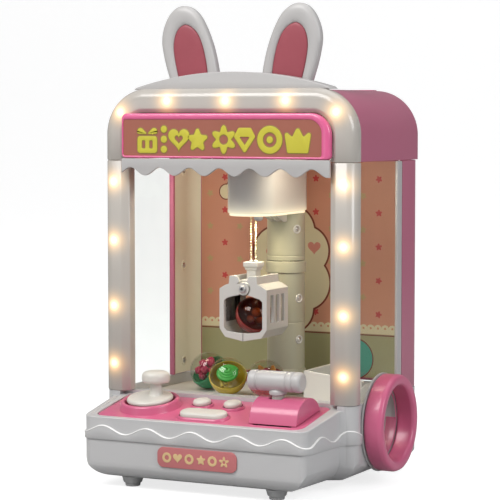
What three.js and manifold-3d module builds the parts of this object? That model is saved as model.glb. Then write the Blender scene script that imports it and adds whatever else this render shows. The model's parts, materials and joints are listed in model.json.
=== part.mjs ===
// Toy claw crane machine: cabinet with a lit arch, ears and sign, a turning crane with a hanging
// clamshell claw, a tilted control deck and a round prize outlet.
// Millimetres, +Z up, +X to the player's right, +Y to the back. Origin: centre of the footprint, on the floor.
import * as THREE from 'three';
import { mergeVertices } from 'three/addons/utils/BufferGeometryUtils.js';
import Module from 'manifold-3d';

// ---------- driving dimensions ----------
const SHIFT_X = -7.4, SHIFT_Y = -44.1;      // moves the layout frame so that the origin is the footprint centre
const BODY_HALF = 107.5;                     // half width of the base and rear housing walls
const REAR_Y = 143.5, FRONT_Y = -57;         // back face and front face of the base
const FLOOR_Z = 60;                          // top of the play floor
const SEAM_Z = 38;                           // joint between lower and upper base shells
const SHELL_BOTTOM = 8.2;
const SIDE_TOP = 68;                         // top edge of the base sides
const ROOF_SEAM = 253.3, ROOF_TOP = 309;
const POST_IN = 91.2, POST_OUT = 110.2, POST_FRONT = -1, POST_BACK = 12.6;
const ROOF_FRONT = 13;                       // front edge of the rear housing
const ARCH_TOP = 310, ARCH_R = 36.3;
const DECK_Y = -51.5, DECK_Z = 55.4, DECK_TILT = Math.atan2(10, 59.1);   // tilted control deck
const STICK = [-55.7, -21];                  // joystick centre in plan
const LEVER_AXIS = [-22, 57];                // lever axle, y and z
const RING_C = [54.85, 49.3], RING_OUT = 38, RING_IN = 26.5;   // prize ring centre (y, z) and radii
const TOWER = [1.6, 105], TOWER_R = 15.6;    // crane tower
const HANG = [0, 48];                        // the claw hangs here
const PIVOT_Z = 151.5;                       // jaw pivot
const CAPSULE_R = 16;
const GAP = 0.3;

const wasm = await Module();
wasm.setup();

// ---------- solids ----------
const V = (x, y) => new THREE.Vector2(x, y);
function weld(geometry) {
  const g = (geometry.index ? geometry.toNonIndexed() : geometry.clone());
  g.deleteAttribute('normal');
  g.deleteAttribute('uv');
  const w = mergeVertices(g, 1e-4);
  const src = w.index.array, tri = [];
  for (let i = 0; i < src.length; i += 3)
    if (src[i] !== src[i + 1] && src[i + 1] !== src[i + 2] && src[i] !== src[i + 2]) tri.push(src[i], src[i + 1], src[i + 2]);
  return { pos: new Float32Array(w.attributes.position.array), tri: new Uint32Array(tri) };
}
function S(geometry) {
  const { pos, tri } = weld(geometry);
  return new wasm.Manifold(new wasm.Mesh({ numProp: 3, vertProperties: pos, triVerts: tri }));
}
function G(solid) {
  const m = solid.getMesh();
  const g = new THREE.BufferGeometry();
  const p = new Float32Array(m.numVert * 3);
  for (let i = 0; i < m.numVert; i++) for (let k = 0; k < 3; k++) p[3 * i + k] = m.vertProperties[i * m.numProp + k];
  g.setAttribute('position', new THREE.BufferAttribute(p, 3));
  g.setIndex(new THREE.BufferAttribute(new Uint32Array(m.triVerts), 1));
  g.computeVertexNormals();
  return g;
}
const union = (...s) => s.reduce((a, b) => a.add(b));
const cut = (a, ...s) => s.reduce((x, b) => x.subtract(b), a);

const shapeOf = (pts, holes = []) => {
  const s = new THREE.Shape(pts.map(p => V(p[0], p[1])));
  for (const h of holes) s.holes.push(new THREE.Path(h.map(p => V(p[0], p[1]))));
  return s;
};
// polygon with a fillet radius at each corner
function rounded(pts, radii, seg = 4) {
  const out = [], n = pts.length;
  for (let i = 0; i < n; i++) {
    const p = V(...pts[i]), a = V(...pts[(i + n - 1) % n]), b = V(...pts[(i + 1) % n]);
    const r = Array.isArray(radii) ? radii[i] : radii;
    if (!r) { out.push([p.x, p.y]); continue; }
    const u = a.clone().sub(p).normalize(), v = b.clone().sub(p).normalize();
    const half = Math.acos(Math.min(1, Math.max(-1, u.dot(v)))) / 2;
    const t = r / Math.tan(half), c = u.clone().add(v).normalize().multiplyScalar(r / Math.sin(half)).add(p);
    const s = u.clone().multiplyScalar(t).add(p).sub(c), e = v.clone().multiplyScalar(t).add(p).sub(c);
    let a0 = Math.atan2(s.y, s.x), a1 = Math.atan2(e.y, e.x), d = a1 - a0;
    while (d > Math.PI) d -= 2 * Math.PI;
    while (d < -Math.PI) d += 2 * Math.PI;
    for (let k = 0; k <= seg; k++) out.push([c.x + r * Math.cos(a0 + d * k / seg), c.y + r * Math.sin(a0 + d * k / seg)]);
  }
  return out;
}
const rect = (x0, y0, x1, y1, r = 0, seg = 4) => rounded([[x0, y0], [x1, y0], [x1, y1], [x0, y1]], r, seg);
const circle = (x, y, r, n = 24) => Array.from({ length: n }, (_, i) => [x + r * Math.cos(2 * Math.PI * i / n), y + r * Math.sin(2 * Math.PI * i / n)]);
function extrude(shape, depth, bevel = 0, seg = 2) {
  return new THREE.ExtrudeGeometry(shape, bevel
    ? { depth: depth - 2 * bevel, bevelEnabled: true, bevelThickness: bevel, bevelSize: bevel, bevelOffset: -bevel, bevelSegments: seg, curveSegments: 8 }
    : { depth, bevelEnabled: false, curveSegments: 8 }).translate(0, 0, bevel);
}
// the three directions of extrusion: plan outline (x, y), front outline (x, z), side outline (y, z)
const alongZ = (pts, z0, z1, o = {}) => S(extrude(shapeOf(pts, o.holes), z1 - z0, o.bevel, o.seg).translate(0, 0, z0));
const alongY = (pts, y0, y1, o = {}) => S(extrude(shapeOf(pts, o.holes), y1 - y0, o.bevel, o.seg).rotateX(Math.PI / 2).translate(0, y1, 0));
const TO_X = new THREE.Matrix4().makeBasis(new THREE.Vector3(0, 1, 0), new THREE.Vector3(0, 0, 1), new THREE.Vector3(1, 0, 0));
const alongX = (pts, x0, x1, o = {}) => S(extrude(shapeOf(pts, o.holes), x1 - x0, o.bevel, o.seg).applyMatrix4(TO_X).translate(x0, 0, 0));
const box = (x0, y0, z0, x1, y1, z1) => S(new THREE.BoxGeometry(x1 - x0, y1 - y0, z1 - z0).translate((x0 + x1) / 2, (y0 + y1) / 2, (z0 + z1) / 2));
const rodZ = (x, y, r, z0, z1, n = 16) => S(new THREE.CylinderGeometry(r, r, z1 - z0, n).rotateX(Math.PI / 2).translate(x, y, (z0 + z1) / 2));
const rodY = (x, z, r, y0, y1, n = 16) => S(new THREE.CylinderGeometry(r, r, y1 - y0, n).translate(x, (y0 + y1) / 2, z));
const rodX = (y, z, r, x0, x1, n = 16) => S(new THREE.CylinderGeometry(r, r, x1 - x0, n).rotateZ(Math.PI / 2).translate((x0 + x1) / 2, y, z));
// turned piece, profile [[r, z], ...] going up the outside and back to the axis
const turned = (profile, n = 16) => S(new THREE.LatheGeometry(profile.map(p => V(p[0], p[1])), n).rotateX(Math.PI / 2));

const root = new THREE.Group();
const layout = new THREE.Group();
layout.position.set(SHIFT_X, SHIFT_Y, 0);
root.add(layout);
const deck = new THREE.Group();              // deck frame: x across, y up the slope, z out of the deck
deck.position.set(0, DECK_Y, DECK_Z);
deck.rotation.x = DECK_TILT;
layout.add(deck);
function part(name, solid, color, roughness = 0.35, metalness = 0, parent = layout) {
  const m = new THREE.Mesh(G(solid), new THREE.MeshStandardMaterial({ color, roughness, metalness }));
  m.name = name;
  parent.add(m);
  return m;
}
const WHITE = 0xd9d8d6, PINK = 0xdc5c8c, MUTED = 0xb06a5f, STEEL = 0xb8b8b8, BEIGE = 0xb9b496, CLEAR = 0xdfe6e8;

// ---------- base ----------
const planPts = [[-96, FRONT_Y], [96, FRONT_Y], [99.5, -4], [BODY_HALF, 6], [BODY_HALF, REAR_Y], [-BODY_HALF, REAR_Y], [-BODY_HALF, 6], [-99.5, -4]];
const plan = rounded(planPts, [8, 8, 5, 5, 20, 20, 5, 5], 4);
const inPlan = rounded([[-90.5, -54], [90.5, -54], [95.5, 6], [104.9, 12], [104.9, 140.9], [-104.9, 140.9], [-104.9, 12], [-95.5, 6]], [7, 7, 3, 3, 17.5, 17.5, 3, 3], 4);
const bulges = (a, b) => union(rodZ(-100.4, 9.5, 9.7, a, b, 20), rodZ(100.4, 9.5, 9.7, a, b, 20));
const side = (y0, y1, b, r) => alongX(rounded([[y0, b], [y1, b], [y1, 90], [y0, 90]], [r, r, 0, 0], 5), -120, 120);
// rounded underside: plan outline drawn in along a quarter circle
const bowl = (half, z0, r) => S(extrude(shapeOf([...half.map(([x, y]) => [-x, y]), ...half.slice().reverse()].reverse()), 2 * r + 60, r, 6).translate(0, 0, z0));
const lowerOuter = union(alongZ(plan, SHELL_BOTTOM, SEAM_Z - 0.2), bulges(SHELL_BOTTOM, SEAM_Z - 0.2)).intersect(bowl([[95.4, -66], [99.5, -4], [110.2, 2], [110.2, 152.5]], SHELL_BOTTOM, 22)).intersect(side(FRONT_Y, REAR_Y, SHELL_BOTTOM, 13));
const lowerInner = alongZ(inPlan, SHELL_BOTTOM + 2.6, SEAM_Z + 1).intersect(bowl([[89.9, -63], [96.6, -1.6], [105.2, 5], [105.2, 149.9]], SHELL_BOTTOM + 2.6, 20)).intersect(side(-54, 140.9, SHELL_BOTTOM + 2.6, 11));
const outletBore = r => rodX(RING_C[0], RING_C[1], r, 90, 130, 24);
const batteryHole = box(-66, 52, 4, -10, 116, 14);
const switchSlot = box(25, 138, 21, 40, 148, 28);
part('base_lower_shell', cut(lowerOuter, lowerInner, outletBore(30.2), batteryHole, switchSlot), WHITE, 0.4);

const zDeck = y => DECK_Z + (y - DECK_Y) * Math.tan(DECK_TILT);
const upperOuter = union(alongZ(plan, SEAM_Z, SIDE_TOP), bulges(SEAM_Z, SIDE_TOP - 0.1));
const wedge = alongX([[-80, zDeck(-80) + 0.6], [7.6, zDeck(7.6) + 0.6], [7.6, 90], [-80, 90]], -95.6, 95.6);
const wedgeSides = alongX([[-80, zDeck(-80) + 0.6], [-0.8, zDeck(-0.8) + 0.6], [-0.8, 90], [-80, 90]], -120, 120);
const tongueWell = union(box(-89.4, -52.3, 20, 89.4, 8.6, 80), box(-88, 8, 20, 88, 22, 60.2));
const cabinetWell = alongZ(rect(-104.9, 21.8, 104.9, 140.9, [2, 2, 17.5, 17.5]), 20, 80);
// scalloped skirt moulded round the upper shell
const wave = (a, b, step = 2.4) => { const n = Math.round((b - a) / step), o = []; for (let i = 0; i <= n; i++) { const t = a + (b - a) * i / n; o.push([t, 46.2 + 3 * Math.cos(2 * Math.PI * (t + 77.6) / 38.7)]); } return o; };
const skirtFront = alongY([[-88, SEAM_Z], ...wave(-88, 88, 4.4), [88, SEAM_Z]].reverse(), FRONT_Y - 1, FRONT_Y + 1);
const skirtSide = x => alongX([[26, SEAM_Z], ...wave(26, 122, 4.8), [122, SEAM_Z]].reverse(), x - 1, x + 1);
part('base_upper_shell', cut(union(upperOuter, skirtFront, skirtSide(BODY_HALF - 0.2).subtract(outletBore(39.5)), skirtSide(-BODY_HALF + 0.2)), wedge, wedgeSides, tongueWell, cabinetWell, outletBore(30.2),
  box(95, 15, 60, 112, 96, 92).intersect(outletBore(30.2))), WHITE, 0.4);
part('base_plaque', alongY(rect(-29, 20.6, 39, 36.3, 5), FRONT_Y - 1.3, FRONT_Y - 0.3), MUTED, 0.5);

for (const [n, x, y] of [['foot_front_left', -62.7, -37.2], ['foot_front_right', 62.7, -37.2], ['foot_rear_left', -62.7, 125], ['foot_rear_right', 62.7, 125]]) {
  const f = part(n, turned([[0, 0], [5.6, 0], [5.9, 0.6], [5.9, 2.2], [7.2, 3], [8.6, SHELL_BOTTOM - GAP], [0, SHELL_BOTTOM - GAP]], 16), 0xc9c9c9, 0.7);
  f.position.set(x, y, 0);
}

// ---------- play area ----------
const dropHole = box(41.6, 64, 50, 110, 136, 66);
part('play_floor', cut(alongZ(rect(-104.5, 22.2, 104.5, 140.5, [2, 2, 17, 17]), FLOOR_Z - 2.4, FLOOR_Z), dropHole, outletBore(31), rodZ(TOWER[0], TOWER[1], 7, 50, 70)), 0xd8d6cf, 0.45);
const fenceFront = alongY([[42.5, 60.3], [101.5, 60.3], [101.5, 78], [90, 79.5], [42.5, 85]], 60.6, 62.8);
const fenceSide = alongX([[60.6, 60.3], [137.2, 60.3], [137.2, 85], [60.6, 85]], 38.6, 40.9);
const fenceLink = box(40, 60.6, 60.3, 43, 62.8, 85);
part('prize_fence', cut(union(fenceFront, fenceSide, fenceLink), outletBore(31)), 0xd6d4cd, 0.45);
const rampFloor = alongY([[42, 46], [42, 43.6], [94, 20.8], [98.5, 20.8], [98.5, 22.8], [94.4, 22.8]], 27.2, 136.2);
const rampSides = union(box(40, 27.2, 30, 42.2, 138, 57), alongY([[40, 57], [40, 42], [84, 23.2], [90, 30], [90, 57]], 136, 138.2),
  alongY([[40, 57], [40, 42], [90, 20.6], [98.5, 20.8], [98.5, 57]], 25, 27.4));
part('prize_chute', cut(union(rampFloor, rampSides), outletBore(30.4).intersect(box(90, 0, 0, 130, 160, 120)), box(96, 20, 15, 106, 90, 24)), 0xcfcdc6, 0.5);
const tubeLow = cut(rodX(RING_C[0], RING_C[1], 29.9, 97, 107.8, 24), rodX(RING_C[0], RING_C[1], 28.7, 90, 112, 24));
const flangePlate = cut(rodX(RING_C[0], RING_C[1], 38.6, 107.8 + 0.05, 109.4, 24), rodX(RING_C[0], RING_C[1], 28.7, 90, 112, 24));
part('outlet_flange', union(tubeLow, flangePlate, cut(rodX(RING_C[0], RING_C[1], 29.9, 107, 108.2, 24), rodX(RING_C[0], RING_C[1], 28.7, 90, 112, 24))), 0xb9b9b6, 0.4);
// ring turned about its own axis (X)
const ringProfile = [[RING_IN, 109.7], [RING_OUT - 1.2, 109.7], [RING_OUT, 111], [RING_OUT, 121.5], [RING_OUT - 1.6, 124.2], [RING_OUT - 4.2, 125], [RING_IN + 3.4, 125], [RING_IN + 0.9, 124.2], [RING_IN, 122]];
const ringBody = S(new THREE.LatheGeometry([...ringProfile, ringProfile[0]].map(p => V(p[0], p[1])), 24).rotateZ(-Math.PI / 2).translate(0, RING_C[0], RING_C[1]));
const sleeve = cut(rodX(RING_C[0], RING_C[1], 28.3, 101, 110.5, 24), rodX(RING_C[0], RING_C[1], RING_IN, 99, 112, 24));
part('prize_ring', union(ringBody, sleeve.subtract(box(99, 0, RING_C[1], 109.7, 110, 120))), PINK, 0.3);

// ---------- control deck ----------
const sx = STICK[0], sv = (STICK[1] - DECK_Y) / Math.cos(DECK_TILT);
const bezel = (x, v, r) => cut(rodZ(x, v, r + 1.7, -0.1, 2, 16), rodZ(x, v, r + 0.35, -4, 4, 16));
const BTN = { button_left: [-14.8, 40.6, 7.15], button_right: [12.2, 40.8, 7.15] };
const OV = [0.4, 14.2, 19.6, 8];
const oval = (g, z0, z1) => alongZ(rect(OV[0] - OV[2] - g, OV[1] - OV[3] - g, OV[0] + OV[2] + g, OV[1] + OV[3] + g, OV[3] + g, 5), z0, z1);
let panel = alongZ(rect(-89, 0.2, 89, 59.9, 8), -3, 0);
panel = cut(panel, rodZ(sx, sv, 7, -5, 2), box(45.5, 6, -6, 78.5, 41, 3));
panel = union(panel, cut(rodZ(sx, sv, 23.5, -0.1, 6.4, 24), rodZ(sx, sv, 19.6, -0.2, 7, 24)));
for (const k of ['button_left', 'button_right']) { const [x, v, r] = BTN[k]; panel = union(panel, bezel(x, v, r)); panel = cut(panel, rodZ(x, v, 4.6, -5, 3)); }
panel = union(panel, cut(oval(1.7, -0.1, 2), oval(0.35, -3, 4)));
panel = cut(panel, oval(-4, -5, 3));
part('control_panel', panel, PINK, 0.35, 0, deck);
for (const k of ['button_left', 'button_right']) {
  const [x, v, r] = BTN[k];
  const b = part(k, turned([[0, -7], [4.2, -7], [4.2, 1.8], [r, 1.8], [r, 4.1], [r * 0.86, 5.3], [r * 0.55, 6.1], [0, 6.4]], 16), 0xe9e7df, 0.3, 0, deck);
  b.position.set(x, v, 0);
}
part('button_oval', union(oval(-4.4, -7, 2), oval(0, 1.8, 4.6), oval(-1.3, 4.5, 5.5)), 0xe9e7df, 0.3, 0, deck);

// joystick: cover disc, stem and mushroom knob in one piece
const stickBase = S(new THREE.CylinderGeometry(18.25, 18.25, 4, 20).rotateX(Math.PI / 2).rotateX(DECK_TILT).translate(0, 0, 0));
const deckPoint = (v, n) => [DECK_Y + v * Math.cos(DECK_TILT) - n * Math.sin(DECK_TILT), DECK_Z + v * Math.sin(DECK_TILT) + n * Math.cos(DECK_TILT)];
const [stY, stZ] = deckPoint(sv, 7);         // joystick pivot
const stickTop = turned([[0, 0], [6.2, 0], [5.2, 2.6], [4.75, 4.4], [4.75, 11.2], [10.2, 11.6], [11, 13.4], [11, 17], [9.9, 19.2], [6.6, 20.6], [0, 20.9]], 18);
const stickPin = S(new THREE.CylinderGeometry(2, 2, 17, 12).translate(0, -8.5, 0).rotateX(Math.PI / 2).rotateX(DECK_TILT));
part('joystick_stick', union(stickBase.translate([sx, stY, stZ]), stickTop.translate([sx + 4.4, stY + 1.8, stZ + 0.9]), stickPin.translate([sx, stY, stZ])), 0xe6e4de, 0.35);
part('joystick_gimbal', cut(alongZ(rect(sx - 12, sv - 9, sx + 12, sv + 9, 3), -8.4, -6.2), alongZ(rect(sx - 6.4, sv - 2.4, sx + 6.4, sv + 2.4, 2.3), -10, -4)), STEEL, 0.5, 0, deck);

// lever: half-round housing, cross handle on a stem
const [ly, lz] = LEVER_AXIS;
const hump = (r, y0, y1, drop) => {
  const pts = [[y0, zDeck(y0) - drop], [y1, zDeck(y1) - drop]];
  for (let i = 0; i <= 14; i++) { const a = Math.PI * (0.1 + 0.8 * i / 14); const k = r / Math.max(Math.abs(Math.cos(a)), 0); pts.push([ly + r * 1.12 * Math.cos(a), lz + (r) * Math.pow(Math.sin(a), 0.8)]); }
  return pts;
};
const humpOut = hump(18.9, -44.4, -0.4, -0.35), humpIn = hump(16.4, -41.6, -3.2, 3);
part('lever_housing', cut(alongX(humpOut, 42, 82), alongX(humpIn, 44.4, 79.6), box(51.9, -30.4, 60, 63.1, -7, 90).intersect(rodX(ly, lz, 26, 51.9, 63.1, 24))), PINK, 0.35);
const leverStem = S(new THREE.CylinderGeometry(4.9, 4.9, 30, 20).rotateX(Math.PI / 2).translate(0, 0, 15).rotateX(0.12));
const grip = turned([[0, -22], [6.6, -22], [7.6, -21], [7.8, -14.6], [7.2, -14.3], [7.2, -13.6], [7.8, -13.3], [7.8, 11.6], [7.2, 11.9], [7.2, 12.6], [7.8, 12.9], [7.8, 15.6], [7.2, 15.9], [7.2, 16.6], [7.8, 16.9], [7.6, 20.6], [6.4, 22], [0, 22.4]], 16);
const gripX = S(G(grip)).rotate([0, 90, 0]);
part('lever_handle', union(leverStem.translate([57.5, ly, lz]), gripX.translate([56.6, ly - 3.7, lz + 30.8]), rodX(ly, lz, 5.6, 50, 65, 20)), 0xe2e0e2, 0.3);

// ---------- lit frame ----------
const postOut = s => rounded([[s * 88, 3], [s * 93.8, POST_FRONT], [s * 109.8, POST_FRONT], [s * 109.8, POST_BACK], [s * 88.4, POST_BACK]], [1.6, 2.5, 8.5, 2, 1.5], 4);
const postIn = s => rounded([[s * 90.2, 4.2], [s * 94.4, POST_FRONT + 2], [s * 107.8, POST_FRONT + 2], [s * 107.8, POST_BACK - 2], [s * 90.4, POST_BACK - 2]], [0.8, 1.5, 6.5, 1, 0.8], 3);
part('light_post_left', cut(alongZ(postOut(-1).reverse(), SIDE_TOP + 0.2, ROOF_SEAM - 0.2), alongZ(postIn(-1).reverse(), 60, 260)), 0xe3dfda, 0.3);
part('light_post_right', cut(alongZ(postOut(1), SIDE_TOP + 0.2, ROOF_SEAM - 0.2), alongZ(postIn(1), 60, 260)), 0xe3dfda, 0.3);
const archBand = (xo, zo, ro, xi, zi, ri, z0, y0, y1, bevel) => {
  const outer = rounded([[-xo, z0], [xo, z0], [xo, zo], [-xo, zo]], [0, 0, ro, ro], 8);
  const inner = rounded([[-xi, z0 - 20], [xi, z0 - 20], [xi, zi], [-xi, zi]], [0, 0, ri, ri], 6);
  const ring = [outer[0], ...[[-xi, z0]], ...inner.slice(2).reverse().map(p => p), [xi, z0], ...outer.slice(1)];
  return alongY(ring, y0, y1, { bevel, seg: 2 });
};
const archOut = archBand(POST_OUT - 0.4, ARCH_TOP, ARCH_R, POST_IN, 291, 17.3, 236, POST_FRONT, POST_BACK, 4);
const archIn = archBand(POST_OUT - 2.4, ARCH_TOP - 2, ARCH_R - 2, POST_IN + 2, 293, 19.3, 234, POST_FRONT + 2, POST_BACK - 2, 3);
part('light_arch', cut(archOut, archIn, box(-130, -10, 200, 130, 40, ROOF_SEAM)), 0xe3dfda, 0.3);
// one strip of lamps runs up both posts and round the arch
const cx = (POST_IN + POST_OUT) / 2, strip = archBand(cx + 3, 303.5, 29.8, cx - 3, 297.5, 23.8, 72, 8.2, 9.4, 0);
const LAMPS = [[236.3], [189.4], [136.8], [90.3]].flatMap(([z]) => [[-cx, z], [cx, z]]).concat([[-94.2, 291.6], [94.2, 291.6], [0, 300.5], [-51.8, 300.5], [51.8, 300.5]]);
part('led_strip', union(strip, ...LAMPS.map(([x, z]) => rodY(x, z, 2.6, 3.6, 8.6, 8))), 0xffe9b0, 0.4);

// crest behind the arch top, and the two ears
const crestArc = [];
for (let i = 0; i <= 16; i++) { const x = 76 - 152 * i / 16; crestArc.push([x, 124 + Math.sqrt(199 * 199 - x * x)]); }
const roofLine = (off, y0, y1) => alongY(rounded([[-BODY_HALF + 1 - off, 240], [BODY_HALF - 1 + off, 240], [BODY_HALF - 1 + off, ROOF_TOP + off], [-BODY_HALF + 1 - off, ROOF_TOP + off]], [0, 0, 36 + off, 36 + off], 8), y0, y1);
const archLine = off => alongY(rounded([[-POST_OUT - off, 240], [POST_OUT + off, 240], [POST_OUT + off, ARCH_TOP + off], [-POST_OUT - off, ARCH_TOP + off]], [0, 0, ARCH_R + off, ARCH_R + off], 8), -10, 24);
part('crest', cut(alongY([[-76, 300], [76, 300], ...crestArc], 6, 21.6), archLine(0.35)), 0xe2e0dd, 0.35);
const earL = [[-18, 309.4], [-19.9, 324], [-22.7, 337.3], [-26.3, 348.6], [-31.3, 360], [-37, 369], [-44.1, 374.4], [-51.4, 375.9], [-57.9, 373.9], [-63.7, 368.3], [-68.1, 359.5], [-70, 350.7], [-69.6, 343], [-66.8, 330.3], [-62.4, 316.2], [-60.8, 309.4]];
const insL = [[-27.4, 312.4], [-28.5, 322.8], [-29.9, 332.2], [-32.7, 343.6], [-37, 353.1], [-42.7, 358.8], [-49.2, 360.9], [-55, 357.2], [-58.2, 350.3], [-59, 341.5], [-57.3, 330.1], [-54.4, 318], [-53.4, 312.4]];
const grow = (pts, d) => { const c = pts.reduce((a, p) => [a[0] + p[0] / pts.length, a[1] + p[1] / pts.length], [0, 0]); return pts.map(p => { const l = Math.hypot(p[0] - c[0], p[1] - c[1]); return [p[0] + (p[0] - c[0]) / l * d, p[1] + (p[1] - c[1]) / l * d]; }); };
for (const [k, s] of [['left', 1], ['right', -1]]) {
  const m = pts => s > 0 ? pts : pts.map(p => [-p[0], p[1]]).reverse();
  part('ear_' + k, cut(alongY(m(earL), 22, 30, { bevel: 2, seg: 2 }), alongY(m(grow(insL, 0.4)), 20, 23.6)), 0xe4e2e0, 0.35);
  part('ear_insert_' + k, alongY(m(insL), 22.1, 23.2), 0xbf6677, 0.5);
}

// sign and scalloped valance inside the arch
const signOut = rounded([[-90.8, 255.4], [90.8, 255.4], [90.8, 290.6], [-90.8, 290.6]], [3, 3, 17, 17], 6);
const signIn = rounded([[-86.4, 257.2], [83.6, 257.2], [83.6, 285.7], [-86.4, 285.7]], [2, 2, 11, 11], 5);
part('sign_board', cut(alongY(signOut, -5, 0.4, { bevel: 1.6, seg: 2 }), alongY(signIn, -8, -4)), PINK, 0.35);
const scallop = [];
for (let i = 0; i <= 56; i++) { const x = -90.8 + 181.6 * i / 56; scallop.push([x, 244.7 - 3.1 * Math.cos(2 * Math.PI * (x + 69.6) / 26.45)]); }
part('valance', alongY([...scallop, [90.8, 255], [-90.8, 255]], -5.2, -2.6), 0xe8e6e4, 0.4);

// ---------- rear housing ----------
const W = BODY_HALF - 1;
const roofOuter = alongY(rounded([[-W, 230], [W, 230], [W, ROOF_TOP], [-W, ROOF_TOP]], [0, 0, 36, 36], 8), 0, REAR_Y, { bevel: 12, seg: 3 });
const roofInner = alongY(rounded([[-W + 2.4, 228], [W - 2.4, 228], [W - 2.4, ROOF_TOP - 2.4], [-W + 2.4, ROOF_TOP - 2.4]], [0, 0, 33.6, 33.6], 8), -10, REAR_Y - 2.4, { bevel: 10, seg: 3 });
part('roof_shell', cut(roofOuter, roofInner, box(-120, -20, 200, 120, ROOF_FRONT, 330), box(-120, -20, 200, 120, 160, ROOF_SEAM + 0.1), box(52, 120, 295, 70, 132, 330)), PINK, 0.35);
// hollow rear posts: pink skin outside, flat liner inside
for (const [k, s] of [['left', -1], ['right', 1]]) {
  const corner = (r, n, back) => Array.from({ length: n + 1 }, (_, i) => { const t = (back ? n - i : i) / n * Math.PI / 2; return [s * (W - 18 + r * Math.cos(t)), REAR_Y - 18 + r * Math.sin(t)]; });
  const o = [[s * (W - 4), 101.5], [s * W, 101.5], ...corner(18, 6, false), [s * 88, REAR_Y], [s * 88, REAR_Y - 2.5], ...corner(15.5, 5, true), [s * (W - 2.5), 104], [s * (W - 4), 104]];
  part('rear_post_' + k, alongZ(s > 0 ? o : o.slice().reverse(), SIDE_TOP + 0.3, ROOF_SEAM - 0.3), PINK, 0.35);
  const win = rect(ROOF_FRONT, SIDE_TOP + 0.3, 101, ROOF_SEAM - 0.4, 1, 1);
  let pane = alongX(win, Math.min(s * 104.8, s * 105.8), Math.max(s * 104.8, s * 105.8));
  pane = union(pane, alongX(rect(92, SIDE_TOP + 0.3, 101, ROOF_SEAM - 0.4), Math.min(s * 104.2, s * 106.4), Math.max(s * 104.2, s * 106.4)));
  if (s > 0) pane = pane.subtract(outletBore(30.4));
  part('window_' + k, pane, CLEAR, 0.1);
}
// hinged rear door with the printed backdrop on its inner face
const doorPlate = alongY(rect(-87.4, SIDE_TOP + 1, 87.4, ROOF_SEAM - 1, 2), REAR_Y - 2.4, REAR_Y);
const doorGrip = alongY(rect(66, 150, 78, 180, 5), REAR_Y - 0.2, REAR_Y + 3);
const doorBosses = [[-80, 90], [80, 90], [-80, 232], [80, 232]].map(([x, z]) => rodY(x, z, 4, 139.4, REAR_Y - 2.2, 10));
part('rear_door', union(doorPlate, doorGrip, ...doorBosses), PINK, 0.35);
part('backdrop_panel', alongY(rect(-95, SIDE_TOP + 3.5, 86.8, ROOF_SEAM - 2), 138, 139.2), 0xdca385, 0.6);

// ---------- crane ----------
const [tx, ty] = TOWER;
const towerRod = (r, z0, z1) => rodZ(tx, ty, r, z0, z1, 20);
part('tower_tube', cut(union(towerRod(18.6, 60.3, 64), towerRod(16.8, 63.5, 80), towerRod(TOWER_R, 79.5, 160.5), towerRod(16.8, 160, 169.6)), towerRod(13.4, 50, 180)), 0xd5d3cf, 0.4);
const lobes = (f, r, z0, z1) => {
  const d = Math.hypot(ty - HANG[1], tx - HANG[0]), ang = Math.acos((f - r) / d), base = Math.atan2(HANG[1] - ty, HANG[0] - tx), p = [];
  for (let i = 0; i <= 12; i++) { const a = base - ang + 2 * ang * i / 12; p.push([HANG[0] + f * Math.cos(a), HANG[1] + f * Math.sin(a)]); }
  for (let i = 0; i <= 12; i++) { const a = base + ang + (2 * Math.PI - 2 * ang) * i / 12; p.push([tx + r * Math.cos(a), ty + r * Math.sin(a)]); }
  return alongZ(p, z0, z1);
};
const beam = union(lobes(20.5, 17, 211, 262), lobes(19.2, 15.8, 209, 211.2), towerRod(TOWER_R, 170, 209.5), box(-2.6, 70, 202.5, -1.4, 90.6, 209.5), box(3, 70, 202.5, 4.2, 90.2, 209.5), box(8.6, 70, 202.5, 9.8, 91.6, 209.5));
part('arm_housing', cut(beam, lobes(18.3, 14.8, 211.4, 270), towerRod(13.4, 160, 215), box(-4.6, 45.6, 200, 4.6, 50.4, 220)), 0xdcdad6, 0.38);
part('spot_lamp', union(rodZ(10.5, 36, 3.6, 206.4, 208.7, 16), rodZ(10.5, 36, 2.6, 205.6, 206.6, 12)), 0x9a9a98, 0.3);
// turning gear on the arm's shaft inside the tower, driven by a pinion
function gear(r, teeth, x, y, z0, z1, phase, bore) {
  const p = [];
  for (let i = 0; i < teeth; i++) for (const [f, k] of [[-0.25, -1.05], [-0.13, 0.85], [0.13, 0.85], [0.25, -1.05]]) {
    const a = 2 * Math.PI * (i + f) / teeth + phase;
    p.push([x + (r + k) * Math.cos(a), y + (r + k) * Math.sin(a)]);
  }
  return alongZ(p, z0, z1, bore ? { holes: [circle(x, y, bore, 12).reverse()] } : {});
}
part('turn_gear', union(gear(12, 24, tx, ty, 44, 48, 0, 0), rodZ(tx, ty, 3.2, 34, 206, 12), rodZ(tx, ty, 12.9, 203, 205.4, 24), rodZ(tx, ty, 5, 48, 52, 16)), 0xd8d4c8, 0.5);
part('pinion', union(gear(6, 12, tx, ty - 18.3, 44, 48, Math.PI / 2 + Math.PI / 12, 0), rodZ(tx, ty - 18.3, 1.5, 36, 50, 10)), 0xe8e4d8, 0.5);
part('turn_motor', cut(union(rodZ(tx, ty - 18.3, 10.4, 14, 34, 20), rodZ(tx, ty - 18.3, 3.4, 33.9, 35.6, 14)), rodZ(tx, ty - 18.3, 1.8, 30, 40, 10), ), STEEL, 0.35, 0.8);
part('hoist_spool', union(rodX(62, 240, 5, -7, 7, 18), rodX(62, 240, 8, -8.2, -7, 20), rodX(62, 240, 8, 7, 8.2, 20), rodX(62, 240, 1.6, -13.5, 13.5, 10)), 0xd8d4c8, 0.5);

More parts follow.
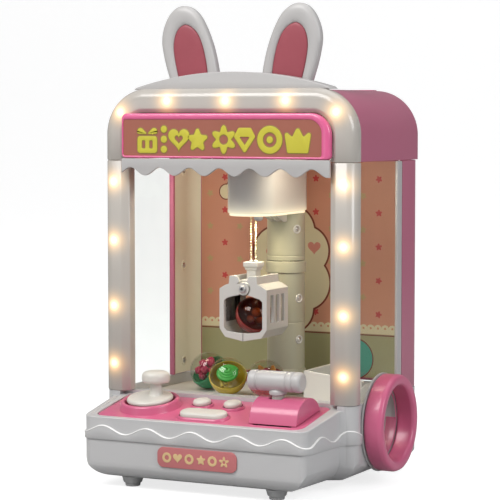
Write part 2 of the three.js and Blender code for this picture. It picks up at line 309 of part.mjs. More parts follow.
// ---------- claw ----------
const [hx, hy] = HANG, pz = PIVOT_Z;
const Y0 = 29.4, Y1 = 68.6;
part('hoist_chain', union(...[-2.1, 2.1].flatMap(x => [rodZ(x, hy, 1.1, 172.3, 242, 8)]), box(-2.4, 47.4, 238, 2.4, 48.6, 240)), 0xc9b98a, 0.3, 0.6);
const hub = union(box(-5.4, 43, 165.6, 5.4, 54, 168), box(-6.4, 42, 167.9, 6.4, 55, 172));
part('claw_head', cut(union(hub, box(-4.2, 44, 158, 4.2, 53, 165.8), box(-5.6, 35.4, 146.6, 5.6, 62.6, 158.2)), rodY(0, pz, 1.85, 20, 80, 16)), 0xcfcdca, 0.4);
part('claw_screw', union(rodY(0, pz, 1.5, 28.6, 69.4, 14), rodY(0, pz, 3, 27.2, 29.1, 16), rodY(0, pz, 3, 68.9, 70.4, 16)), STEEL, 0.3, 0.9);
const halfOut = [[-0.25, 109.6], [-16.1, 112.5], [-21.1, 119.3], [-21.1, 151.2], [-16.1, 154.2], [-12.8, 155.2], [-12.1, 161.6], [-5.3, 161.6], [-2.6, 157], [-0.25, 150]].reverse();
const halfIn = [[0.4, 116.2], [-4.5, 116.2], [-14.6, 117.4], [-17, 120], [-17, 141.5], [-14.6, 143.6], [-5, 146.2], [0.4, 146.6]].reverse();
const wallIn = [[0.4, 112.1], [-14.9, 115], [-18.7, 120.2], [-18.7, 149.7], [-15.4, 151.6], [-9.4, 152.6], [-9.4, 170], [0.4, 170]].reverse();
function jaw(s) {
  const m = pts => s < 0 ? pts : pts.map(p => [-p[0], p[1]]).reverse();
  const eye = (r, a, b) => rodY(0, pz, r, a, b, 20);
  // walls running the whole depth
  let walls = cut(alongY(m(halfOut), Y0, Y1), alongY(m(wallIn), 20, 80));
  const plates = [[Y0, Y0 + 2], [Y1 - 2, Y1]].map(([a, b]) => cut(alongY(m(halfOut), a, b), alongY(m(halfIn), 20, 80)));
  let j = union(walls, ...plates);
  // pivot eyes: the left jaw's outside, the right jaw's behind them
  j = cut(j, eye(6.4, Y0 - 1, Y0 + 2.3), eye(6.4, Y1 - 2.3, Y1 + 1));
  if (s < 0) j = union(j, ...[[Y0, Y0 + 2], [Y1 - 2, Y1]].map(([a, b]) => union(eye(5.2, a, b), alongY([[-10, 144.9], [-3, 147.2], [-3, 155.4], [-10, 154.4]], a, b))));
  else j = union(j, ...[[Y0 + 2.3, Y0 + 4.1], [Y1 - 4.1, Y1 - 2.3]].map(([a, b]) => union(eye(5.2, a, b), alongY([[3, 147.2], [13, 143.9], [13, 152.6], [3, 155.4]], a, b))), ...[[Y0 + 1, Y0 + 4.1], [Y1 - 4.1, Y1 - 1]].map(([a, b]) => alongY([[9, 144.9], [13, 143.9], [13, 152.6], [9, 153.4]], a, b)));
  j = cut(j, rodY(0, pz, 1.85, 20, 80, 16));
  // finger slots in the side wall
  const x0 = s < 0 ? -24 : 15.4, x1 = s < 0 ? -15.4 : 24;
  for (const y of [36.6, 46.4, 56.2]) j = cut(j, box(x0, y, 124.5, x1, y + 5.4, 146.4));
  return j;
}
part('jaw_left', jaw(-1), 0xd6d4d1, 0.38);
part('jaw_right', jaw(1), 0xd6d4d1, 0.38);
part('held_capsule', S(new THREE.SphereGeometry(15.4, 16, 10)).translate([0, 49, 129]), 0x8c2f2c, 0.25);
const floorCapsule = (name, x, y, color) => part(name, S(new THREE.SphereGeometry(CAPSULE_R - 0.2, 16, 10)).translate([x, y, FLOOR_Z + CAPSULE_R]), color, 0.25);
floorCapsule('capsule_green', -63, 90, 0x2c9060);
floorCapsule('capsule_yellow', -31.6, 64.7, 0xb9a32c);
floorCapsule('capsule_red', 2, 66.4, 0xb2404a);

// ---------- inside the base ----------
part('main_board', box(-40, -46, 30, 40, -4, 31.6), 0x2e6a44, 0.6);
part('speaker', union(rodZ(0, -26, 18, 12, 15, 24), rodZ(0, -26, 9, 14.9, 22, 20)), 0x333333, 0.6, 0.3);
part('battery_tray', cut(box(-64, 54, 11.6, -12, 114, 30), box(-61.8, 56.2, 8, -14.2, 111.8, 27.8)), 0xd0cecb, 0.5);
part('battery_cover', union(box(-65.6, 52.4, SHELL_BOTTOM, -10.4, 115.6, 10.6), box(-45, 60, 10.4, -31, 64, 20)), 0xd0cecb, 0.5);
part('power_switch', union(box(30, 140, 22.6, 35, 145, 26.4), box(27, 136.4, 19.4, 38, 140.5, 29.6)), 0x555555, 0.5);

export default root;
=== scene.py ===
import bpy, bmesh, json, math, random
from mathutils import Vector, Matrix


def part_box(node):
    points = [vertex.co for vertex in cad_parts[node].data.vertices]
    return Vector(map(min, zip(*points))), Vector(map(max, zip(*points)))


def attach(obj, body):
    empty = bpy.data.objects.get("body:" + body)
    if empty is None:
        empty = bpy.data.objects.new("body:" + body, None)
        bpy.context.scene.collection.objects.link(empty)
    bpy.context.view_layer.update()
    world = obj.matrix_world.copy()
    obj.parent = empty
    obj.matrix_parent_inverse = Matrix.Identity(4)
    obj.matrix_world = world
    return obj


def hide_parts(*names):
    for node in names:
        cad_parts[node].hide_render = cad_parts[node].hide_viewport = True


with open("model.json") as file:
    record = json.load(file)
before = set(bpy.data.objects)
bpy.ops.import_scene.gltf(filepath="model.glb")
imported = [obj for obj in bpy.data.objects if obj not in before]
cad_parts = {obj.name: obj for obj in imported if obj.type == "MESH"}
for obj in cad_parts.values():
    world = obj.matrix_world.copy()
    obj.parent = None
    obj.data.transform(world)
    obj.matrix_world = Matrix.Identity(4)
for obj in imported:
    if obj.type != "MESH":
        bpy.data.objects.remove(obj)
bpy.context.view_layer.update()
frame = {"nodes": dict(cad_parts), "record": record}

aL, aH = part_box("light_arch")
OX, OY, OZ = (aL.x + aH.x) / 2, aL.y + 0.001, 0.0
MM = 0.001
COL = bpy.context.scene.collection
random.seed(7)
pi, cos, sin, tan, hyp = math.pi, math.cos, math.sin, math.tan, math.hypot


def W(x, y, z):
    return Vector((x * MM + OX, y * MM + OY, z * MM + OZ))


TILT = math.atan2(10, 59.1)
DY, DZ = -51.5, 55.4


def D(x, v, n):
    """deck frame to layout millimetres"""
    return (x, DY + v * cos(TILT) - n * sin(TILT), DZ + v * sin(TILT) + n * cos(TILT))


def z_deck(y):
    return DZ + (y - DY) * tan(TILT)


# ------------------------------------------------------------------ materials
def nd(t, kind, **kw):
    n = t.nodes.new(kind)
    for k, v in kw.items():
        setattr(n, k, v)
    return n


def math_node(t, op, a, b=None, c=None, clamp=False):
    n = nd(t, "ShaderNodeMath", operation=op, use_clamp=clamp)
    for i, v in enumerate((a, b, c)):
        if v is None:
            continue
        if isinstance(v, (int, float)):
            n.inputs[i].default_value = v
        else:
            t.links.new(v, n.inputs[i])
    return n.outputs[0]


def mixc(t, fac, a, b, mode="MIX"):
    n = nd(t, "ShaderNodeMix", data_type="RGBA", blend_type=mode)
    for sock, v in ((n.inputs[0], fac), (n.inputs[6], a), (n.inputs[7], b)):
        if isinstance(v, (int, float)):
            sock.default_value = v
        elif isinstance(v, (tuple, list)):
            sock.default_value = (*v[:3], 1)
        else:
            t.links.new(v, sock)
    return n.outputs[2]


def plastic(name, col, rough=0.32, var=0.05, blotch=18, bump=0.05, coat=0.0, wear=0.15, edge=None,
            metal=0.0, sss=0.0, glow=None, sheen_dust=0.02, fine=900, rvar=0.05, ao=0.0, spec=0.5):
    m = bpy.data.materials.new(name)
    m.use_nodes = True
    t = m.node_tree
    b = t.nodes["Principled BSDF"]
    b.inputs["Metallic"].default_value = metal
    b.inputs["Specular IOR Level"].default_value = spec
    if coat:
        b.inputs["Coat Weight"].default_value = coat
        b.inputs["Coat Roughness"].default_value = 0.12
    if sss:
        b.inputs["Subsurface Weight"].default_value = sss
        b.inputs["Subsurface Scale"].default_value = 0.004
        b.inputs["Subsurface Radius"].default_value = (1.0, 0.7, 0.5)
    tc = nd(t, "ShaderNodeTexCoord")
    big = nd(t, "ShaderNodeTexNoise"); big.inputs["Scale"].default_value = blotch; big.inputs["Detail"].default_value = 3
    med = nd(t, "ShaderNodeTexNoise"); med.inputs["Scale"].default_value = fine * 0.25; med.inputs["Detail"].default_value = 5
    mic = nd(t, "ShaderNodeTexNoise"); mic.inputs["Scale"].default_value = fine * 3; mic.inputs["Detail"].default_value = 2
    for n in (big, med, mic):
        t.links.new(tc.outputs["Object"], n.inputs["Vector"])
    dark = tuple(c * (1 - var * 1.6) for c in col)
    light = tuple(min(1, c * (1 + var)) for c in col)
    base = mixc(t, big.outputs["Fac"], dark, light)
    base = mixc(t, math_node(t, "MULTIPLY", med.outputs["Fac"], sheen_dust), base, tuple(min(1, 0.5 * c + 0.42) for c in col))
    geo = nd(t, "ShaderNodeNewGeometry")
    ramp = nd(t, "ShaderNodeMapRange", clamp=True)
    ramp.inputs["From Min"].default_value = 0.58
    ramp.inputs["From Max"].default_value = 0.75
    t.links.new(geo.outputs["Pointiness"], ramp.inputs["Value"])
    worn = math_node(t, "MULTIPLY", math_node(t, "MULTIPLY", ramp.outputs["Result"], med.outputs["Fac"]), wear)
    base = mixc(t, worn, base, edge or tuple(min(1, c * 1.25 + 0.03) for c in col))
    # painted shade: colour darkened in crevices by ambient occlusion
    if ao:
        a = nd(t, "ShaderNodeAmbientOcclusion", samples=4)
        a.inputs["Distance"].default_value = 0.02
        k = math_node(t, "MULTIPLY", math_node(t, "SUBTRACT", 1.0, a.outputs["AO"]), ao)
        base = mixc(t, k, base, tuple(c * 0.4 for c in col))
    t.links.new(base, b.inputs["Base Color"])
    r = nd(t, "ShaderNodeMapRange")
    r.inputs["To Min"].default_value = max(0.03, rough - rvar * 0.5)
    r.inputs["To Max"].default_value = rough + rvar * 0.5
    t.links.new(med.outputs["Fac"], r.inputs["Value"])
    t.links.new(math_node(t, "ADD", r.outputs["Result"], math_node(t, "MULTIPLY", worn, 0.2)), b.inputs["Roughness"])
    bm_ = nd(t, "ShaderNodeBump")
    bm_.inputs["Strength"].default_value = bump
    bm_.inputs["Distance"].default_value = 0.0003
    t.links.new(mic.outputs["Fac"], bm_.inputs["Height"])
    t.links.new(bm_.outputs["Normal"], b.inputs["Normal"])
    if glow:
        glow(t, b, tc)
    return m


def clear_plastic(name, tint=(0.96, 0.97, 0.96), rough=0.03, ior=1.45, gain=1.0):
    m = bpy.data.materials.new(name)
    m.use_nodes = True
    t = m.node_tree
    t.nodes.remove(t.nodes["Principled BSDF"])
    out = t.nodes["Material Output"]
    tr = nd(t, "ShaderNodeBsdfTransparent"); gl = nd(t, "ShaderNodeBsdfGlossy")
    tc = nd(t, "ShaderNodeTexCoord")
    n = nd(t, "ShaderNodeTexNoise"); n.inputs["Scale"].default_value = 60; n.inputs["Detail"].default_value = 4
    t.links.new(tc.outputs["Object"], n.inputs["Vector"])
    t.links.new(mixc(t, n.outputs["Fac"], tuple(c * 0.975 for c in tint), tint), tr.inputs["Color"])
    gl.inputs["Color"].default_value = (0.95, 0.96, 0.97, 1)
    r = nd(t, "ShaderNodeMapRange")
    r.inputs["To Min"].default_value = rough; r.inputs["To Max"].default_value = rough + 0.05
    t.links.new(n.outputs["Fac"], r.inputs["Value"]); t.links.new(r.outputs["Result"], gl.inputs["Roughness"])
    wav = nd(t, "ShaderNodeTexNoise"); wav.inputs["Scale"].default_value = 25
    t.links.new(tc.outputs["Object"], wav.inputs["Vector"])
    bp = nd(t, "ShaderNodeBump"); bp.inputs["Strength"].default_value = 0.06; bp.inputs["Distance"].default_value = 0.002
    t.links.new(wav.outputs["Fac"], bp.inputs["Height"]); t.links.new(bp.outputs["Normal"], gl.inputs["Normal"])
    lw = nd(t, "ShaderNodeLayerWeight"); lw.inputs["Blend"].default_value = 0.5
    mx = nd(t, "ShaderNodeMixShader")
    k = math_node(t, "MULTIPLY_ADD", math_node(t, "POWER", lw.outputs["Facing"], 4.5), 0.75 * gain, 0.035 * gain, clamp=True)
    t.links.new(k, mx.inputs[0])
    t.links.new(tr.outputs[0], mx.inputs[1]); t.links.new(gl.outputs[0], mx.inputs[2]); t.links.new(mx.outputs[0], out.inputs["Surface"])
    return m


CXP = 100.7
LAMPS = [(s * CXP, z) for z in (236.3, 189.4, 136.8, 90.3) for s in (-1, 1)] + [(-94.2, 291.6), (94.2, 291.6), (0, 300.5), (-51.8, 300.5), (51.8, 300.5)]


def lamp_glow(t, b, tc):
    """warm lamps shining through the milky cover"""
    pos = nd(t, "ShaderNodeSeparateXYZ"); t.links.new(tc.outputs["Object"], pos.inputs[0])
    core_sum = halo_sum = None
    for x, z in LAMPS:
        p = W(x, 0, z)
        dx = math_node(t, "SUBTRACT", pos.outputs[0], p.x)
        dz = math_node(t, "SUBTRACT", pos.outputs[2], p.z)
        d2 = math_node(t, "ADD", math_node(t, "MULTIPLY", dx, dx), math_node(t, "MULTIPLY", dz, dz))
        core = math_node(t, "EXPONENT", math_node(t, "MULTIPLY", d2, -1 / (0.0036 ** 2)))
        halo = math_node(t, "EXPONENT", math_node(t, "MULTIPLY", d2, -1 / (0.0082 ** 2)))
        core_sum = core if core_sum is None else math_node(t, "ADD", core_sum, core)
        halo_sum = halo if halo_sum is None else math_node(t, "ADD", halo_sum, halo)
    front = nd(t, "ShaderNodeMapRange", clamp=True)      # dimmer towards the back of the cover
    front.inputs["From Min"].default_value = OY + 0.0125
    front.inputs["From Max"].default_value = OY - 0.0005
    front.inputs["To Min"].default_value = 0.25
    t.links.new(pos.outputs[1], front.inputs["Value"])
    f = front.outputs["Result"]
    core_sum = math_node(t, "MULTIPLY", math_node(t, "POWER", core_sum, 1.2), f)
    halo_sum = math_node(t, "MULTIPLY", halo_sum, f)
    add = nd(t, "ShaderNodeVectorMath", operation="ADD")
    s1 = nd(t, "ShaderNodeVectorMath", operation="SCALE"); s1.inputs[0].default_value = (1.0, 0.90, 0.60); t.links.new(core_sum, s1.inputs["Scale"])
    s2 = nd(t, "ShaderNodeVectorMath", operation="SCALE"); s2.inputs[0].default_value = (0.62, 0.34, 0.085); t.links.new(halo_sum, s2.inputs["Scale"])
    s3 = nd(t, "ShaderNodeVectorMath", operation="SCALE"); s3.inputs[0].default_value = (1.6, 1.45, 1.0); s3.inputs["Scale"].default_value = 1.0
    t.links.new(s1.outputs[0], add.inputs[0]); t.links.new(s2.outputs[0], add.inputs[1])
    mul = nd(t, "ShaderNodeVectorMath", operation="SCALE"); mul.inputs["Scale"].default_value = 1.35
    t.links.new(add.outputs[0], mul.inputs[0])
    t.links.new(mul.outputs[0], b.inputs["Emission Color"])
    b.inputs["Emission Strength"].default_value = 1.0


def painted_rim_glow(t, b, tc):
    """painted glow along the lower edge of the crane arm, standing in for the light of its lamp"""
    pos = nd(t, "ShaderNodeSeparateXYZ"); t.links.new(tc.outputs["Object"], pos.inputs[0])
    dz = math_node(t, "SUBTRACT", pos.outputs[2], 0.2100)
    g = math_node(t, "EXPONENT", math_node(t, "MULTIPLY", math_node(t, "MAXIMUM", dz, 0.0), -1 / 0.0042))
    low = nd(t, "ShaderNodeMapRange", clamp=True)
    low.inputs["From Min"].default_value = 0.2075; low.inputs["From Max"].default_value = 0.2090
    t.links.new(pos.outputs[2], low.inputs["Value"])
    g = math_node(t, "MULTIPLY", g, low.outputs["Result"])
    s = nd(t, "ShaderNodeVectorMath", operation="SCALE"); s.inputs[0].default_value = (0.95, 0.85, 0.55); t.links.new(g, s.inputs["Scale"])
    t.links.new(s.outputs[0], b.inputs["Emission Color"])
    b.inputs["Emission Strength"].default_value = 0.85


MAT = {}
MAT["white"] = plastic("white_moulded", (0.53, 0.525, 0.53), 0.30, 0.015, coat=0.15)
MAT["white2"] = plastic("white_soft", (0.50, 0.485, 0.48), 0.36, 0.015)
MAT["pearl"] = plastic("pearl_cover", (0.50, 0.465, 0.425), 0.25, 0.008, bump=0.012, sheen_dust=0.0, rvar=0.015, wear=0.0, coat=0.35, glow=lamp_glow)
MAT["warm"] = plastic("warm_white", (0.66, 0.635, 0.58), 0.34, 0.015, coat=0.1)
# arm shell, with a painted glow near its lower edge
MAT["arm"] = plastic("arm_shell", (0.58, 0.565, 0.53), 0.26, 0.01, bump=0.015, sheen_dust=0.0, coat=0.3, glow=painted_rim_glow)
MAT["tower"] = plastic("tower_shell", (0.40, 0.385, 0.285), 0.30, 0.015, bump=0.02, sheen_dust=0.0, coat=0.2)
# near-white copy of the moulded white for the wave bead: painted highlight
MAT["line"] = plastic("skirt_painted_highlight", (0.92, 0.91, 0.90), 0.25, 0.01, coat=0.3)
MAT["pink"] = plastic("pink_moulded", (0.48, 0.125, 0.21), 0.30, 0.02, coat=0.2, edge=(0.85, 0.36, 0.48))
MAT["pink_deck"] = plastic("pink_deck", (0.62, 0.125, 0.245), 0.30, 0.02, coat=0.25, edge=(0.9, 0.45, 0.52))
MAT["hot"] = plastic("pink_border", (0.78, 0.13, 0.31), 0.20, 0.03, coat=0.5, edge=(0.95, 0.5, 0.62))
MAT["panel"] = plastic("sign_print", (0.37, 0.12, 0.08), 0.42, 0.05, blotch=30)
MAT["yellow"] = plastic("sign_marks", (0.60, 0.54, 0.045), 0.40, 0.05, edge=(0.8, 0.75, 0.2))
MAT["olive"] = plastic("mark_edge", (0.30, 0.20, 0.05), 0.45, 0.06)
MAT["rose"] = plastic("ear_rose", (0.35, 0.067, 0.09), 0.45, 0.05, blotch=60)
MAT["rubber"] = plastic("foot_rubber", (0.52, 0.52, 0.52), 0.6, 0.05, bump=0.2)
MAT["liner"] = plastic("inner_liner", (0.78, 0.74, 0.60), 0.42, 0.02)
MAT["card"] = plastic("printed_card", (0.56, 0.26, 0.17), 0.5, 0.06, blotch=12)
MAT["card_low"] = plastic("print_low", (0.33, 0.32, 0.17), 0.5, 0.06)
MAT["card_cream"] = plastic("print_cream", (0.66, 0.60, 0.40), 0.5, 0.05)
MAT["print_red"] = plastic("print_red", (0.50, 0.05, 0.05), 0.5, 0.06)
MAT["print_brown"] = plastic("print_brown", (0.17, 0.035, 0.018), 0.5, 0.06)
MAT["print_rose"] = plastic("print_rose", (0.62, 0.25, 0.20), 0.5, 0.06)
MAT["print_teal"] = plastic("print_teal", (0.05, 0.33, 0.25), 0.5, 0.08)
MAT["print_pale"] = plastic("print_pale", (0.44, 0.33, 0.16), 0.5, 0.06)
MAT["plaque"] = plastic("plaque_print", (0.52, 0.16, 0.165), 0.42, 0.06)
MAT["plaque_mark"] = plastic("plaque_marks", (0.70, 0.50, 0.25), 0.42, 0.06)
MAT["steel"] = plastic("steel", (0.62, 0.61, 0.60), 0.28, 0.05, metal=1.0, rvar=0.2, wear=0.1)
MAT["chain"] = plastic("chain_metal", (0.85, 0.74, 0.50), 0.22, 0.06, metal=0.85, rvar=0.15)
MAT["dark"] = plastic("dark_plastic", (0.05, 0.05, 0.055), 0.45, 0.2)
MAT["lens"] = plastic("lamp_lens", (0.38, 0.38, 0.37), 0.2, 0.05, coat=0.5)
MAT["flange"] = plastic("grey_flange", (0.44, 0.44, 0.44), 0.35, 0.05)
MAT["strip"] = plastic("lamp_strip", (0.8, 0.72, 0.5), 0.4, 0.05)
MAT["board"] = plastic("board", (0.04, 0.18, 0.08), 0.4, 0.15)
MAT["glass"] = clear_plastic("clear_pane", gain=0.35)
MAT["dome"] = clear_plastic("clear_dome", (0.95, 0.96, 0.93), ior=1.5, gain=0.8)
MAT["dome_brown"] = clear_plastic("smoke_dome", (0.80, 0.62, 0.52), ior=1.5, gain=0.7)
MAT["c_green"] = plastic("cup_green", (0.02, 0.27, 0.11), 0.22, 0.06, coat=0.5)
MAT["c_yellow"] = plastic("cup_yellow", (0.52, 0.38, 0.02), 0.22, 0.06, coat=0.5)
MAT["c_red"] = plastic("cup_red", (0.40, 0.03, 0.045), 0.22, 0.06, coat=0.5)
MAT["c_dark"] = plastic("cup_dark", (0.30, 0.025, 0.018), 0.22, 0.08, coat=0.5)
MAT["toy_pink"] = plastic("toy_pink", (0.55, 0.04, 0.12), 0.35, 0.12)
MAT["toy_green"] = plastic("toy_green", (0.05, 0.45, 0.06), 0.35, 0.12)
MAT["toy_orange"] = plastic("toy_orange", (0.62, 0.24, 0.03), 0.35, 0.12)
MAT["toy_gold"] = plastic("toy_gold", (0.55, 0.40, 0.05), 0.35, 0.12)
MAT["toy_brown"] = plastic("toy_brown", (0.30, 0.10, 0.04), 0.4, 0.12)


# ------------------------------------------------------------------ mesh tools
def rounded(pts, radii, seg=10):
    out, n = [], len(pts)
    for i in range(n):
        p, a, b = Vector(pts[i]), Vector(pts[i - 1]), Vector(pts[(i + 1) % n])
        r = radii[i] if isinstance(radii, (list, tuple)) else radii
        if not r:
            out.append((p.x, p.y)); continue
        u, v = (a - p).normalized(), (b - p).normalized()
        half = math.acos(max(-1, min(1, u.dot(v)))) / 2
        c = p + (u + v).normalized() * (r / sin(half))
        s, e = p + u * (r / tan(half)) - c, p + v * (r / tan(half)) - c
        a0, a1 = math.atan2(s.y, s.x), math.atan2(e.y, e.x)
        d = a1 - a0
        while d > pi: d -= 2 * pi
        while d < -pi: d += 2 * pi
        for k in range(seg + 1):
            out.append((c.x + r * cos(a0 + d * k / seg), c.y + r * sin(a0 + d * k / seg)))
    return out


def rect(x0, y0, x1, y1, r=0, seg=10):
    return rounded([(x0, y0), (x1, y0), (x1, y1), (x0, y1)], r, seg)


def circ(x, y, r, n=64):
    return [(x + r * cos(2 * pi * i / n), y + r * sin(2 * pi * i / n)) for i in range(n)]


def area(p):
    return sum(p[i - 1][0] * p[i][1] - p[i][0] * p[i - 1][1] for i in range(len(p))) / 2


def offset(p, d):
    """moves a closed outline inwards by d (counter-clockwise outlines)"""
    n, out = len(p), []
    sgn = 1 if area(p) > 0 else -1
    for i in range(n):
        a, b, c = Vector(p[i - 1]), Vector(p[i]), Vector(p[(i + 1) % n])
        e1, e2 = (b - a), (c - b)
        if e1.length < 1e-9 or e2.length < 1e-9:
            e1 = e1 if e1.length > 1e-9 else e2
            e2 = e2 if e2.length > 1e-9 else e1
        e1.normalize(); e2.normalize()
        n1, n2 = Vector((-e1.y, e1.x)) * sgn, Vector((-e2.y, e2.x)) * sgn
        m = n1 + n2
        if m.length < 1e-6:
            m = n1
        m.normalize()
        k = 1 / max(0.45, m.dot(n1))
        out.append((b.x + m.x * d * k, b.y + m.y * d * k))
    return out


AX = {"Z": lambda p, h: (p[0], p[1], h), "Y": lambda p, h: (p[0], h, p[1]), "X": lambda p, h: (h, p[0], p[1]),
      "D": lambda p, h: D(p[0], p[1], h)}


def raw(verts, faces, name="tmp"):
    me = bpy.data.meshes.new(name)
    me.from_pydata([W(*v) for v in verts], [], faces)
    bm = bmesh.new(); bm.from_mesh(me)
    bmesh.ops.remove_doubles(bm, verts=bm.verts, dist=2e-6)
    bmesh.ops.dissolve_degenerate(bm, dist=1e-7, edges=bm.edges)
    bmesh.ops.recalc_face_normals(bm, faces=bm.faces)
    bm.to_mesh(me); bm.free()
    o = bpy.data.objects.new(name, me)
    COL.objects.link(o)
    return o


def prism(axis, pts, a, b, bevel=0.0, holes=(), seg=3, bevel_b=None):
    """plate of an outline with holes, its edges rounded by `bevel`"""
    f = AX[axis]
    bevel_b = bevel if bevel_b is None else bevel_b
    levels = []
    for k in range(seg + 1) if bevel else [0]:
        t = k / seg * pi / 2 if bevel else 0
        levels.append((bevel * (1 - sin(t)), a + bevel * (1 - cos(t))))
    for k in range(seg + 1) if bevel_b else [0]:
        t = k / seg * pi / 2 if bevel_b else 0
        levels.append((bevel_b * (1 - cos(t)), b - bevel_b * (1 - sin(t))))
    if bevel:
        levels = levels
    bm = bmesh.new()
    first, last = [], []
    for li, loop in enumerate([pts, *holes]):
        ccw = area(loop) > 0
        rings = []
        for d, h in levels:
            o = offset(loop, d if li == 0 else -d) if d else loop
            rings.append([bm.verts.new(W(*f(p, h))) for p in o])
        n = len(loop)
        for r0, r1 in zip(rings, rings[1:]):
            for i in range(n):
                j = (i + 1) % n
                try:
                    bm.faces.new((r0[i], r0[j], r1[j], r1[i]))
                except ValueError:
                    pass
        first.append(rings[0]); last.append(rings[-1])
    for group in (first, last):
        if len(group) == 1:
            bm.faces.new(group[0])
        else:
            edges = []
            for ring in group:
                for i in range(len(ring)):
                    e = bm.edges.get((ring[i], ring[(i + 1) % len(ring)])) or bm.edges.new((ring[i], ring[(i + 1) % len(ring)]))
                    edges.append(e)
            bmesh.ops.triangle_fill(bm, use_beauty=True, use_dissolve=False, edges=edges)
    bmesh.ops.remove_doubles(bm, verts=bm.verts, dist=2e-6)
    bmesh.ops.recalc_face_normals(bm, faces=bm.faces)
    me = bpy.data.meshes.new("tmp"); bm.to_mesh(me); bm.free()
    o = bpy.data.objects.new("tmp", me); COL.objects.link(o)
    return o


def loft(rings, closed=True, cap0=True, cap1=True, loop=False):
    verts = [p for r in rings for p in r]
    n, faces = len(rings[0]), []
    m = len(rings)
    for k in range(m if loop else m - 1):
        a, b = k * n, ((k + 1) % m) * n
        for i in range(n if closed else n - 1):
            j = (i + 1) % n
            faces.append((a + i, a + j, b + j, b + i))
    if cap0 and not loop:
        faces.append(tuple(range(n)))
    if cap1 and not loop:
        faces.append(tuple((m - 1) * n + i for i in range(n)))
    return raw(verts, faces)


def lathe(prof, centre=(0, 0, 0), axis=(0, 0, 1), n=96, closed=False, a0=0.0, a1=2 * pi):
    """profile [(r, h)] turned about an axis through centre; closed joins the last point to the first"""
    ax = Vector(axis).normalized()
    q = Vector((0, 0, 1)).rotation_difference(ax)
    c = Vector(centre)
    full = abs(a1 - a0) > 2 * pi - 1e-6
    cnt = n if full else n + 1
    rings = []
    for i in range(cnt):
        a = a0 + (a1 - a0) * i / n
        rings.append([tuple(c + q @ Vector((r * cos(a), r * sin(a), h))) for r, h in prof])
    verts = [p for r in rings for p in r]
    k, faces = len(prof), []
    for i in range(cnt if full else cnt - 1):
        a, b = i * k, ((i + 1) % cnt) * k
        for j in range(k if closed else k - 1):
            j2 = (j + 1) % k
            faces.append((a + j, a + j2, b + j2, b + j))
    if not full and closed:
        faces.append(tuple(range(k))); faces.append(tuple((cnt - 1) * k + j for j in range(k)))
    return raw(verts, faces)


def soften(prof, r=0.5, seg=3, closed=False):
    """rounds the corners of a lathe profile"""
    out, n = [], len(prof)
    for i, p in enumerate(prof):
        if not closed and i in (0, n - 1):
            out.append(tuple(p)); continue
        P0, P1, P2 = Vector(prof[i - 1]), Vector(p), Vector(prof[(i + 1) % n])
        u, v = P0 - P1, P2 - P1
        if u.length < 1e-6 or v.length < 1e-6 or abs(u.normalized().dot(v.normalized())) > 0.995:
            out.append(tuple(p)); continue
        t = min(r, u.length * 0.45, v.length * 0.45)
        A, B = P1 + u.normalized() * t, P1 + v.normalized() * t
        for k in range(seg + 1):
            s = k / seg
            out.append(tuple(A * (1 - s) ** 2 + P1 * 2 * s * (1 - s) + B * s * s))
    return out


def tube(path, r, n=12, closed=False, caps=True, rs=None):
    """round tube along points in layout millimetres"""
    pts = [Vector(p) for p in path]
    m = len(pts)
    rings, up = [], None
    for i, p in enumerate(pts):
        a = pts[i - 1] if (i or closed) else p
        b = pts[(i + 1) % m] if (i < m - 1 or closed) else p
        t = (b - a).normalized()
        if up is None:
            up = t.orthogonal().normalized()
        up = (up - t * up.dot(t)).normalized()
        s = t.cross(up)
        rr = rs[i] if rs else r
        rings.append([tuple(p + (up * cos(2 * pi * k / n) + s * sin(2 * pi * k / n)) * rr) for k in range(n)])
    return loft(rings, True, caps and not closed, caps and not closed, loop=closed)


def ball(c, r, n=20, squash=1.0, axis=(0, 0, 1)):
    prof = [(r * sin(pi * i / n), -r * squash * cos(pi * i / n)) for i in range(n + 1)]
    return lathe(prof, c, axis, n=max(12, n))


def evaluated(o):
    dg = bpy.context.evaluated_depsgraph_get()
    me = bpy.data.meshes.new_from_object(o.evaluated_get(dg))
    return me


def boolean(a, *tools, op="DIFFERENCE"):
    for t in tools:
        md = a.modifiers.new("b", "BOOLEAN")
        md.operation = op; md.solver = "EXACT"; md.object = t
        bpy.context.view_layer.update()
        me = evaluated(a)
        a.modifiers.clear()
        old = a.data; a.data = me; bpy.data.meshes.remove(old)
        bpy.data.objects.remove(t)
    return a


def join(objs):
    """several temporary meshes become one"""
    bm = bmesh.new()
    for o in objs:
        bm.from_mesh(o.data)
    me = bpy.data.meshes.new("tmp"); bm.to_mesh(me); bm.free()
    for o in objs:
        bpy.data.objects.remove(o)
    o = bpy.data.objects.new("tmp", me); COL.objects.link(o)
    return o


def done(o, name, mat, body="cabinet", rep=(), bevel=0.0, angle=35, seg=3, flat=False, weld=True, dissolve=False):
    """finishes a temporary mesh as a named piece of the object"""
    o.name = name; o.data.name = name
    bm = bmesh.new(); bm.from_mesh(o.data)
    if weld:
        bmesh.ops.remove_doubles(bm, verts=bm.verts, dist=2e-6)
    if dissolve:
        bmesh.ops.dissolve_limit(bm, angle_limit=math.radians(0.6), verts=bm.verts, edges=bm.edges)
    lone = [v for v in bm.verts if not v.link_faces]
    if lone:
        bmesh.ops.delete(bm, geom=lone, context="VERTS")
    bmesh.ops.recalc_face_normals(bm, faces=bm.faces)
    bm.to_mesh(o.data); bm.free()
    mats = mat if isinstance(mat, (list, tuple)) else [mat]
    if len(mats) == 1:
        o.data.materials.clear()
        o.data.materials.append(MAT[mats[0]])
    for p in o.data.polygons:
        p.use_smooth = True
    if bevel:
        md = o.modifiers.new("bevel", "BEVEL")
        md.width = bevel * MM; md.segments = seg; md.limit_method = "ANGLE"; md.angle_limit = math.radians(angle)
        md.use_clamp_overlap = False; md.miter_outer = "MITER_ARC"
        wn = o.modifiers.new("normals", "WEIGHTED_NORMAL"); wn.keep_sharp = True
    else:
        o.data.set_sharp_from_angle(angle=math.radians(angle))
    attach(o, body)
    if rep:
        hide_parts(*([rep] if isinstance(rep, str) else rep))
    return o


